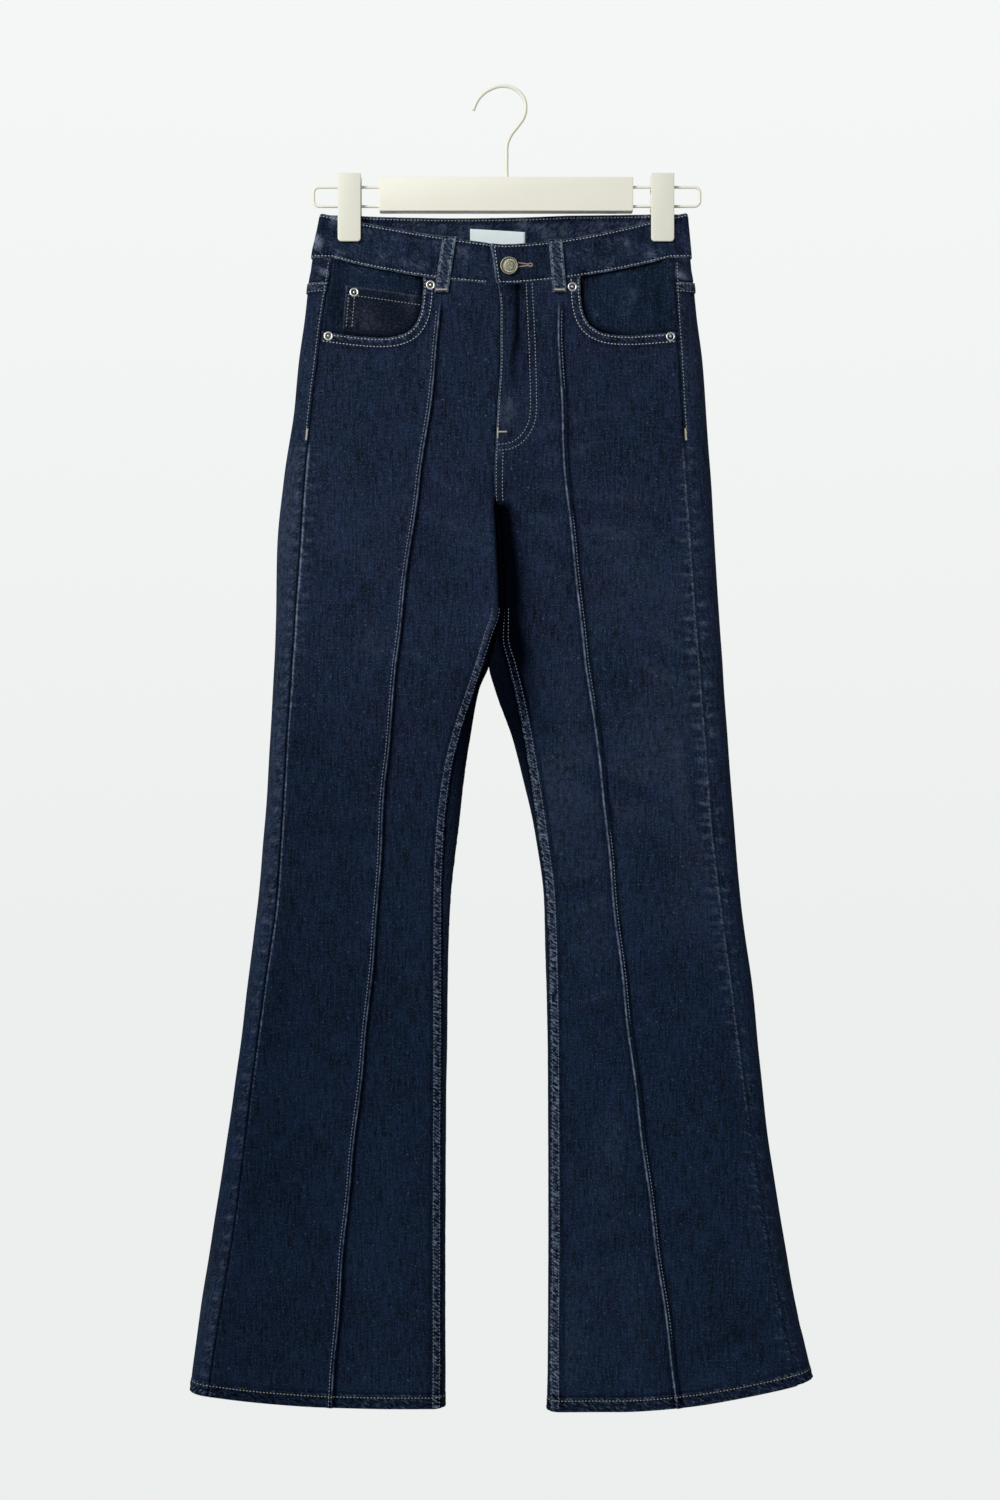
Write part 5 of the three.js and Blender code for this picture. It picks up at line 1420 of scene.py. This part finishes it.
for leg in ("left", "right"):
    right, inward = leg == "right", INWARD[leg]
    edges, place, behind = EDGES[leg], on_front(right, front_relief), on_back(leg, back_relief)
    khaki, stone, grey, tan, pale, shaded_inseam_rows = [], [], [], [], [], []
    for offset in (1.8, 8.4):
        line = mouth_line(leg, offset, 60)[2:]
        line = line[(line[:, 0] - edges["side"](line[:, 1])) * inward > 0.8]
        line = line[line[:, 1] < band_seam(True, line[:, 0]) - 0.8]
        stone.append(row(*place(line[:, 0], line[:, 1])))
    # The tuck's own row, and the inseam's two.
    z = np.linspace(TUCK["top"] - 6, FOOT, 700)
    x = edges["tuck"](z) + wander(z)
    keep = z > hem_line(right, x) + 1
    hidden = 1.1 * np.clip(1.4 * np.sin(z / 47 + (2.6 if right else 0.4)) - 0.2, 0, 1) if right else 0 * z
    points, normals = laid(front_relief, right, True, x - inward * 2.9, z, -hidden)
    grey.append(row(points[keep], normals[keep], wide=0.75, high=0.45))
    # The inseams' rows take the darker khaki thread, as painted shade.
    for offset in (1.8, 7.4):
        z = np.linspace(CROTCH + 2, FOOT, 500)
        x = edges["seam"](z) - inward * offset
        keep = z > hem_line(right, x) + 1
        shaded_inseam_rows.append(row(*place(x[keep], z[keep]), wide=0.75))
    # The side seam is sewn down to its bartack, on the back's edge.
    top, foot = -165, -322
    z = np.linspace(top, foot, 120)
    a = -arc_out(np.abs(edges["side"](z) - edges["out"](z)) - 3.5, folds(leg, z)[0])
    khaki.append(row(*behind(a, z)))
    z = np.linspace(foot, foot - 11, 12)
    a = -arc_out(np.abs(edges["side"](z) - edges["out"](z)) - 2.4, folds(leg, z)[0])
    pale.append(row(*behind(a, z), long=2.2, **TACK))
    # Yoke: two rows round the fold to the side seam; hem: one row right round the leg.
    for drop in (1.7, 8.6):
        khaki.append(row(*behind(*round_leg(leg, YOKE_SIDE - drop, back_columns, 260,
                                            lambda front, x: yoke_seam(front, x) - drop))))
    tan.append(row(*behind(*round_leg(leg, HEM_Z, strip_columns, 400,
                                      lambda front, x: hem_line(right, x) + HEM_ROW))))
    x = np.linspace(float(edges["side"](-1230)) + inward, float(edges["seam"](-1230)) - inward, 300)
    tan.append(row(*place(x, hem_line(right, x) + HEM_ROW)))
    if right:
        for offset in (1.7, 7.5):
            z = np.linspace(-196 if offset < 2 else FLY["bottom"] - 14, -390, 240)
            khaki.append(row(*place(edges["seam"](z) + offset, z)))
        fly = np.array([(27.3, -186), (28.3, -210), (30.4, -250.8), (31.4, -290), (31.2, -309), (29.2, -319),
                        (24.2, -328.5), (17.5, -336), (10, -340.6), (2, -342.5), (-4.8, -342.6)], float)
        way = np.gradient(fly, axis=0)
        way /= np.linalg.norm(way, axis=1, keepdims=True)
        for inset in (0, 5.6):
            line = fly + np.stack([way[:, 1], -way[:, 0]], axis=1) * inset
            t = np.linspace(0, len(line) - 1, 160)
            smooth = np.stack([np.interp(t, range(len(line)), line[:, k]) for k in (0, 1)], axis=1)
            for _ in range(60):
                smooth[1:-1] = (smooth[:-2] + smooth[2:] + 2 * smooth[1:-1]) / 4
            khaki.append(row(*place(smooth[:, 0], smooth[:, 1])))
        pale.append(bartack(place, (-5.6, -325.4), (3.6, -325.4), 1.7))
        pale.append(bartack(place, (-4.9, -321), (-4.9, -331), 1.5))
        for offset in (1.7, 7.5):
            z = np.linspace(-236, APEX + 6, 200)
            a = folds(leg, z)[2] - arc_out(np.full(z.shape, float(offset)), folds(leg, z)[1])
            khaki.append(row(*behind(a, z)))
            z = np.linspace(-168, -226, 60)
            khaki.append(row(*laid(yoke_relief, right, False, edges["inn"](z) + offset, z)))
    stitched(f"topstitch_{leg}", khaki, khaki_thread)
    stitched(f"inseam_stitch_{leg}", shaded_inseam_rows, shaded_khaki_thread)
    stitched(f"mouth_stitch_{leg}", stone, stone_thread)
    stitched(f"tuck_stitch_{leg}", grey, grey_thread)
    stitched(f"hem_stitch_{leg}", tan, tan_thread)
    stitched(f"bartacks_{leg}", pale, pale_thread)

# Waistband: a row under the top edge and one over the seam, both seen inside too.
rows = []
for lift, flip, start, end in ((0, 1, 2.5, BAND_STOPS[3] + 3),
                               (-BAND["wall"], -1, 20, BAND_STOPS[3] - 20)):
    for t in (2.4 / BAND_HIGH, 1 - 1.7 / BAND_HIGH):
        a = np.linspace(start, end, 900)
        front, x, z = round_band(a, t)
        right = (x > LAP["end"]) & (a < BAND_STOPS[2])
        points, normals = laid(band_relief, right, front, x, z, lift - lapped_by(a))
        rows.append(row(points, normals * flip, wide=0.8))
t = np.linspace(2.4, BAND_HIGH - 1.7, 30) / BAND_HIGH
front, x, z = round_band(np.full(t.shape, 3.2), t)
rows.append(row(*laid(band_relief, True, front, x, z), wide=0.8))
stitched("topstitch_waistband", rows, stone_thread)

# Buttonhole: close stitches out from the button on both lips, and round a small eye.
round_eye = np.linspace(0.5, math.tau - 0.5, 12)
hole_x = np.concatenate([np.linspace(13.5, 24, 16), 25.7 - 1.7 * np.cos(round_eye),
                         np.linspace(24, 13.5, 16)])
hole_z = -169.8 + np.concatenate([np.linspace(1.9, 0.6, 16), 1.5 * np.sin(round_eye),
                                  np.linspace(-0.6, -1.9, 16)])
lips = row(*laid(band_relief, True, True, hole_x, hole_z), long=1.5, **FINE_TACK)
stitched("buttonhole", [lips], pink_thread)

# Coin pocket, belt loops and seat pockets.
place = on_front(False, coin_relief)
x = np.linspace(-146, -77, 60)
rows = [row(*place(x, coin_top(x) - 8.6))]
for inset in (3.2, 8.8):
    z = np.linspace(-198, -227, 50)
    rows.append(row(*place(COIN["from"] + inset - (-188 - z) / COIN["lean"], z)))
stitched("topstitch_coin_pocket", rows, khaki_thread)
khaki, pale = [], []
for name in LOOPS:
    place, long = loop_place(name)
    for d in (-LOOP["rows"], LOOP["rows"]):
        h = np.linspace(-2, 2 - long, 60)
        khaki.append(row(*place(np.full(h.shape, d), h), wide=0.7))
    d = np.linspace(-5, 5, 12)
    pale.append(row(*place(d, np.full(d.shape, 2.6 - long)), long=1.9, **FINE_TACK))
    khaki.append(row(*place(d, np.full(d.shape, -3.0)), wide=0.8))
stitched("topstitch_loops", khaki, khaki_thread)
stitched("bartacks_loops", pale, pale_thread)
for leg in ("left", "right"):
    right = leg == "right"
    rows = []
    for inset in (1.9, 7.9):
        e, f = inset / ACROSS, 1 - inset / SEAT["high"]
        s = np.concatenate([np.full(60, e), np.linspace(e, 0.5, 40), np.linspace(0.5, 1 - e, 40),
                            np.full(60, 1 - e)])
        t = np.concatenate([np.linspace(0.01, f, 60), np.full(80, f), np.linspace(f, 0.01, 60)])
        x, z = seat_flat(leg, s, t)
        rows.append(row(*laid(back_relief, right, False, x, z, SEAM_GAP + DENIM - 0.2)))
    s = np.linspace(0.07, 0.93, 60)
    x, z = seat_flat(leg, s, np.full(s.shape, 13 / DOWN))
    rows.append(row(*laid(back_relief, right, False, x, z, SEAM_GAP + DENIM + 0.3)))
    stitched(f"topstitch_seat_pocket_{leg}", rows, khaki_thread)


# ---- Rivets and button ----
# Copper-free nickel rivets with a raised nib, pressed through the pocket corners. The
# button is a two-part tack button in brass, silver plated and aged, its face left plain
# within a ring of low ribs.
def metal_finish(name, colour, dark, roughness, grit):
    """Plated metal: the plating is worn unevenly, which shows in tone and in gloss."""
    made, tree, shader = finish_of(name)
    where = node(tree, "ShaderNodeTexCoord").outputs["Object"]
    worn = node(tree, "ShaderNodeTexNoise", {"Vector": where}, Scale=1 / grit, Detail=3.0)
    tint = node(tree, "ShaderNodeMix", {"Factor": worn.outputs["Fac"], "A": linear(dark),
                                        "B": linear(colour)}, data_type="RGBA")
    tree.links.new(tint.outputs["Result"], shader.inputs["Base Color"])
    rough = node(tree, "ShaderNodeMapRange", {"Value": worn.outputs["Fac"]}, To_Min=roughness - 0.08,
                 To_Max=roughness + 0.12)
    tree.links.new(rough.outputs[0], shader.inputs["Roughness"])
    bump = node(tree, "ShaderNodeBump", {"Height": worn.outputs["Fac"]}, Strength=0.4, Distance=0.05e-3)
    tree.links.new(bump.outputs[0], shader.inputs["Normal"])
    shader.inputs["Metallic"].default_value = 1
    return made


nickel = metal_finish("nickel_plated_brass", "dfe0da", "9b9c96", 0.32, 1.5e-3)
aged_silver = metal_finish("aged_silver_plated_brass", "bfbca6", "454334", 0.45, 1.3e-3)
# Tarnish and painted shade together, for the hollows of the rivets and the button.
recess_tarnish_and_shade = metal_finish("tarnish_and_painted_shade_in_recess", "6c6a58", "23221c", 0.5, 0.9e-3)
zip_brass = metal_finish("tumbled_zip_brass", "b09a66", "6d5c38", 0.4, 1.2e-3)


def turned(name, profile, place, finish, slot, recess, steps=40, ribs=(0, 0, 0)):
    """Spins a profile of radius and height, and presses it on the cloth. The recess, between
    two radii, takes a darker finish for its tarnish and its painted shade; ribs are a count of low ones,
    pressed between two radii."""
    bm = bmesh.new()
    line = [bm.verts.new((r * MM, 0, h * MM)) for r, h in profile]
    edges = [bm.edges.new(pair) for pair in zip(line[:-1], line[1:])]
    bmesh.ops.spin(bm, geom=line + edges, cent=(0, 0, 0), axis=(0, 0, 1), dvec=(0, 0, 0),
                   angle=math.tau, steps=steps, use_merge=True, use_duplicate=False)
    bmesh.ops.remove_doubles(bm, verts=bm.verts, dist=1e-6)
    bmesh.ops.recalc_face_normals(bm, faces=bm.faces)
    for vert in bm.verts:
        radius = vert.co.xy.length / MM
        if ribs[1] < radius < ribs[2]:
            vert.co.z += 0.2 * MM * math.cos(ribs[0] * math.atan2(vert.co.y, vert.co.x))
    for face in bm.faces:
        radius = face.calc_center_median().xy.length / MM
        face.material_index = int(recess[0] < radius < recess[1])
    (point,), (normal,) = place
    bmesh.ops.transform(bm, verts=bm.verts, matrix=Matrix.Translation(point)
                        @ Vector(normal).to_track_quat("Z", "Y").to_matrix().to_4x4())
    mesh = smooth_mesh(name, bm)
    mesh.materials.append(finish)
    mesh.materials.append(recess_tarnish_and_shade)
    return added(name, mesh)


RIVET = [(0, 0.1), (4.3, 0.1), (4.5, 0.4), (4.35, 0.85), (3.8, 1.2), (3.1, 1.15), (2.6, 0.75), (2.2, 0.35),
         (1.6, 0.35), (1.35, 0.9), (1.0, 1.45), (0.5, 1.65), (0, 1.68)]
RIVETS = {
    "left_inner": (-67.5, -188.5, 1.6), "left_outer": (-163, -236, 0.5), "coin": (-139.3, -193.8, -0.9),
    "right_inner": (64.8, -190, 0.8), "right_outer": (156.5, -236.5, 0.5),
}
for name, (x, z, lift) in RIVETS.items():
    spot = laid(lambda *_: np.array([lift]), x > CENTRE, True, np.array([x]), np.array([z]))
    rivet = turned(f"rivet_{name}_turned", RIVET, spot, nickel, "nickel", (1.45, 2.7))
    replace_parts(rivet, f"rivet_{name}")

BUTTON = [(0, 0), (5, 0), (5, 1.1), (7.9, 1.2), (8.35, 1.6), (8.4, 2.2), (8.1, 2.9), (7.5, 3.15), (7.0, 2.9),
          (6.7, 2.5), (6.2, 2.4), (5.6, 2.4), (5.0, 2.4), (4.6, 2.5), (4.3, 2.85), (3.9, 2.95), (2.6, 2.75),
          (1.3, 2.85), (0, 2.9)]
spot = laid(lambda *_: np.array([1.3]), True, True, np.array([5.7]), np.array([-171.0]))
button = turned("button_turned", BUTTON, spot, aged_silver, "aged_silver", (6.3, 6.95), 120, (24, 4.7, 6.3))
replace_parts(button, "button")
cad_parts["zip_slider"].data.materials.clear()
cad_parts["zip_slider"].data.materials.append(zip_brass)

# Zip teeth: two rows of small pressed blocks, each set between two of the other row.
bm = bmesh.new()
bmesh.ops.create_cube(bm, size=1, matrix=Matrix.Diagonal((3.4, 1.6, 1.1, 1)))
bmesh.ops.bevel(bm, geom=bm.edges, offset=0.25, offset_type="OFFSET", segments=1, profile=0.5,
                affect="EDGES", material=-1)
tooth = template(bm)
blocks, polygons = [], []
for k, z in enumerate(np.arange(ZIP["top"] - 4, ZIP["bottom"] + 4, -ZIP["tooth"] / 2)):
    way = 1 if k % 2 else -1
    x = EDGES["right"]["seam"](z) + way * 1.1
    point = laid(fly_creases, way > 0, True, [x], [z], -DENIM - SEAM_GAP - 1.4)[0][0] / MM
    blocks.append(tooth[0] + point)
    polygons += [[k * len(tooth[0]) + i for i in face] for face in tooth[1]]
mesh = bpy.data.meshes.new("zip_teeth")
mesh.from_pydata((np.vstack(blocks) * MM).tolist(), [], polygons)
mesh.materials.append(zip_brass)
added("zip_teeth", mesh)


# ---- Neck label ----
# A folded satin label, sewn inside the back of the waistband at its two short ends. It is
# left without words.
LABEL = {"from": -31, "to": 21, "top": -131, "bottom": -158, "wall": 0.5}
satin, tree, shader = finish_of("white_woven_satin")
uv = node(tree, "ShaderNodeUVMap").outputs["UV"]
ribs = node(tree, "ShaderNodeTexWave", {"Vector": uv}, Scale=math.tau / 20 / 0.9e-3, bands_direction="Y",
            Distortion=0.4)
cloud = node(tree, "ShaderNodeTexNoise", {"Vector": uv}, Scale=1 / 9e-3, Detail=2.0)
mixed = node(tree, "ShaderNodeMath", {0: ribs.outputs["Fac"], 1: cloud.outputs["Fac"]}, operation="MULTIPLY")
tint = node(tree, "ShaderNodeMix", {"Factor": mixed.outputs[0], "A": linear("d3dedf"),
                                    "B": linear("e9f0ee")}, data_type="RGBA")
tree.links.new(tint.outputs["Result"], shader.inputs["Base Color"])
bump = node(tree, "ShaderNodeBump", {"Height": ribs.outputs["Fac"]}, Strength=0.5, Distance=0.08e-3)
tree.links.new(bump.outputs[0], shader.inputs["Normal"])
shader.inputs["Roughness"].default_value = 0.55
shader.inputs["Sheen Weight"].default_value = 0.2


def label_place(x, z, lift=0.0):
    """The label hangs a little free between its two sewn ends."""
    t = (x - LABEL["from"]) / (LABEL["to"] - LABEL["from"])
    free = 0.5 * np.sin(np.pi * np.clip(t, 0, 1)) * (z - LABEL["bottom"]) / 27
    inside = BAND["proud"] - BAND["wall"] - 0.3
    points, normals = laid(lambda *_: inside - free - lift, x > CENTRE, False, x,
                           z - 3 * t * (z - LABEL["bottom"]) / 27)
    return points, -normals


x, z = np.meshgrid(np.linspace(LABEL["from"], LABEL["to"], 27),
                   np.linspace(LABEL["top"], LABEL["bottom"], 15))
label = sewn("woven_label", pattern(np.stack([x, z], axis=-1)),
             lambda x, z: label_place(x, z, LABEL["wall"]), unmarked, LABEL["wall"], (satin, satin))
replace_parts(label, "label")
rows = []
for x in (LABEL["from"] + 1.5, LABEL["to"] - 1.5):
    z = np.linspace(LABEL["top"] - 1, LABEL["bottom"] + 1, 20)
    sewn_through = label_place(np.full(z.shape, x), z, LABEL["wall"] + 0.05)
    rows.append(row(*sewn_through, pitch=2.4, wide=0.4, high=0.3))
stitched("label_stitch", rows, pale_thread)


# ---- Hanger ----
# A flat wooden bar with a wire loop out of each end and a wire hook in its top, all
# sprayed in one cream lacquer. Each clip is two flat moulded jaws that pinch the
# waistband, on a core that slides along the two wires.
def cream_finish(name, colour, light, rough):
    """A faint orange peel, and a tone that drifts a little over the length of a part."""
    made, tree, shader = finish_of(name)
    where = node(tree, "ShaderNodeTexCoord").outputs["Object"]
    peel = node(tree, "ShaderNodeTexNoise", {"Vector": where}, Scale=1 / 2.5e-3, Detail=2.0)
    cloud = node(tree, "ShaderNodeTexNoise", {"Vector": where}, Scale=1 / 45e-3, Detail=2.0)
    tint = node(tree, "ShaderNodeMix", {"Factor": cloud.outputs["Fac"], "A": linear(colour),
                                        "B": linear(light)}, data_type="RGBA")
    tree.links.new(tint.outputs["Result"], shader.inputs["Base Color"])
    bump = node(tree, "ShaderNodeBump", {"Height": peel.outputs["Fac"]}, Strength=0.25, Distance=0.04e-3)
    tree.links.new(bump.outputs[0], shader.inputs["Normal"])
    gloss = node(tree, "ShaderNodeMapRange", {"Value": cloud.outputs["Fac"]}, To_Min=rough,
                 To_Max=rough + 0.1)
    tree.links.new(gloss.outputs[0], shader.inputs["Roughness"])
    return made


lacquer = cream_finish("cream_satin_lacquer", "e4e1d0", "e8e5d6", 0.5)
clip_plastic = cream_finish("cream_moulded_abs", "d8d7c6", "dcdbcb", 0.45)


def block(name, start, end, corners, rounding, replaced, finish):
    """A board from corner to corner: its upper and lower corners rounded, all edges eased."""
    low, high = Vector(start) * MM, Vector(end) * MM
    bm = bmesh.new()
    bmesh.ops.create_cube(bm, size=1, matrix=Matrix.Translation((low + high) / 2)
                          @ Matrix.Diagonal((*(high - low), 1)))
    for corner, level in zip(corners, (high.z, low.z)):
        upright = [e for e in bm.edges if all(abs(v.co.z - level) < 1e-6 for v in e.verts)
                   and abs((e.verts[0].co - e.verts[1].co).y) > 1e-6]
        bmesh.ops.bevel(bm, geom=upright, offset=corner * MM, offset_type="OFFSET", segments=5, profile=0.5,
                        affect="EDGES", material=-1)
    flat = [f for f in bm.faces if abs(f.normal.y) > 0.9]
    rims = list({e for f in flat for e in f.edges})
    bmesh.ops.bevel(bm, geom=rims, offset=rounding * MM, offset_type="OFFSET", segments=3, profile=0.5,
                    affect="EDGES", material=-1)
    mesh = smooth_mesh(name, bm)
    mesh.set_sharp_from_angle(angle=math.radians(40))
    mesh.materials.append(finish)
    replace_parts(added(name, mesh), replaced)


block("hanger_bar_board", (-116, -6, -117), (122, 6, -85), (1.2, 1.2), 0.6, "hanger_bar", lacquer)
CLIP = {"half": 10.8, "top": -82, "bottom": -146, "jaw": 3, "grip": PINCH["depth"] + BAND["proud"] + 0.5}
for side in ("left", "right"):
    middle = PINCH[side]
    for face, start in (("front", -CLIP["grip"] - CLIP["jaw"]), ("back", CLIP["grip"])):
        block(f"clip_{side}_{face}_jaw", (middle - CLIP["half"], start, CLIP["bottom"]),
              (middle + CLIP["half"], start + CLIP["jaw"], CLIP["top"]), (1.4, 3.2), 0.7,
              f"clip_{side}_{face}", clip_plastic)
    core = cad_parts[f"clip_{side}_core"]
    core.data.materials.clear()
    core.data.materials.append(clip_plastic)


def wire(name, points, radius, replaced, bends="VECTOR"):
    """A bent wire of round section through points in the hanger's plane."""
    curve = bpy.data.curves.new(name, "CURVE")
    curve.dimensions = "3D"
    spline = curve.splines.new("BEZIER")
    spline.bezier_points.add(len(points) - 1)
    for k, (bend, (x, z)) in enumerate(zip(spline.bezier_points, points)):
        bend.co = (x * MM, 0, z * MM)
        bend.handle_left_type = bend.handle_right_type = bends if k else "VECTOR"
    spline.resolution_u = 10
    curve.bevel_depth = radius * MM
    curve.bevel_resolution = 4
    curve.use_fill_caps = True
    curve.materials.append(lacquer)
    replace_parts(added(name, curve), replaced)


HOOK = [(3.4, -84.7), (3.4, -64), (3.9, -53), (7.5, -44.5), (13.8, -36.2), (19.2, -28.2), (21.2, -17.5),
        (18.4, -8), (11.2, -1.2), (0, 1.75), (-11.6, -1.2), (-20.4, -7.4), (-25.4, -14.4), (-28, -21)]
wire("hanger_hook_wire", HOOK, 1.75, "hanger_hook", "AUTO")
LOOP_WIRE = {"upper": -93.5, "lower": -111.5, "bend": 5.2}
for side, root, tip in (("left", -115.5, -178), ("right", 121.5, 185)):
    inward = INWARD[side]
    loop = [(root, LOOP_WIRE["upper"])]
    for level, turn in ((LOOP_WIRE["upper"], -1), (LOOP_WIRE["lower"], 1)):
        bend = [(tip + inward * LOOP_WIRE["bend"] * (1 - math.cos(angle)),
                 level + turn * LOOP_WIRE["bend"] * (1 - math.sin(angle)))
                for angle in np.linspace(0, math.pi / 2, 7)]
        loop += bend[::-1] if turn < 0 else bend
    loop.append((root, LOOP_WIRE["lower"]))
    wire(f"hanger_wire_{side}_loop", loop, 1.4, f"hanger_wire_{side}")


# ---- Studio ----
# A room with a pale floor well below the hem and a pale wall behind, greyer elsewhere. One
# large soft lamp stands to the left in front, and the camera is level with the thighs.
bpy.context.scene.view_settings.view_transform = "Standard"
sky = bpy.data.worlds.new("studio")
bpy.context.scene.world = sky
sky.use_nodes = True
tree = sky.node_tree
way = node(tree, "ShaderNodeSeparateXYZ", {"Vector": node(tree, "ShaderNodeTexCoord").outputs["Generated"]})
wall_height = node(tree, "ShaderNodeMapRange", {"Value": way.outputs["Z"]}, From_Min=-0.1, From_Max=0.3)
wall = node(tree, "ShaderNodeMix", {"Factor": wall_height.outputs[0], "A": linear("ecefed"),
                                    "B": linear("f4f7f5")}, data_type="RGBA")
behind = node(tree, "ShaderNodeMapRange", {"Value": way.outputs["Y"]}, From_Min=0.5, From_Max=0.88)
room = node(tree, "ShaderNodeMix", {"Factor": behind.outputs[0], "A": linear("9c9fa3"),
                                    "B": wall.outputs["Result"]}, data_type="RGBA")
tree.links.new(room.outputs["Result"], tree.nodes["Background"].inputs["Color"])


def lamp(name, place, aim, size, power):
    data = bpy.data.lights.new(name, "AREA")
    data.shape = "SQUARE"
    data.size = size
    data.energy = power
    made = bpy.data.objects.new(name, data)
    made.location = place
    made.rotation_euler = (Vector(aim) - Vector(place)).to_track_quat("-Z", "Y").to_euler()
    bpy.context.scene.collection.objects.link(made)


lamp("key", (-2.4, -3.4, 1.4), (0, 0, -0.5), 1.7, 180)
bm = bmesh.new()
bmesh.ops.create_grid(bm, x_segments=1, y_segments=1, size=1.8)
floor_mesh = smooth_mesh("floor", bm)
floor_mesh.transform(Matrix.Translation((0, 0, -2.0)))
floor = bpy.data.objects.new("floor", floor_mesh)
bpy.context.scene.collection.objects.link(floor)
paint, tree, shader = finish_of("pale_floor_paint")
shader.inputs["Base Color"].default_value = linear("e9e9e6")
shader.inputs["Roughness"].default_value = 0.8
floor_mesh.materials.append(paint)

camera = bpy.data.cameras.new("camera")
camera.lens = 50
camera.sensor_width = 36
viewer = bpy.data.objects.new("camera", camera)
viewer.location = (-0.0028, -1.958, -0.6223)
viewer.rotation_euler = (math.radians(90), 0, 0)
bpy.context.scene.collection.objects.link(viewer)
bpy.context.scene.camera = viewer
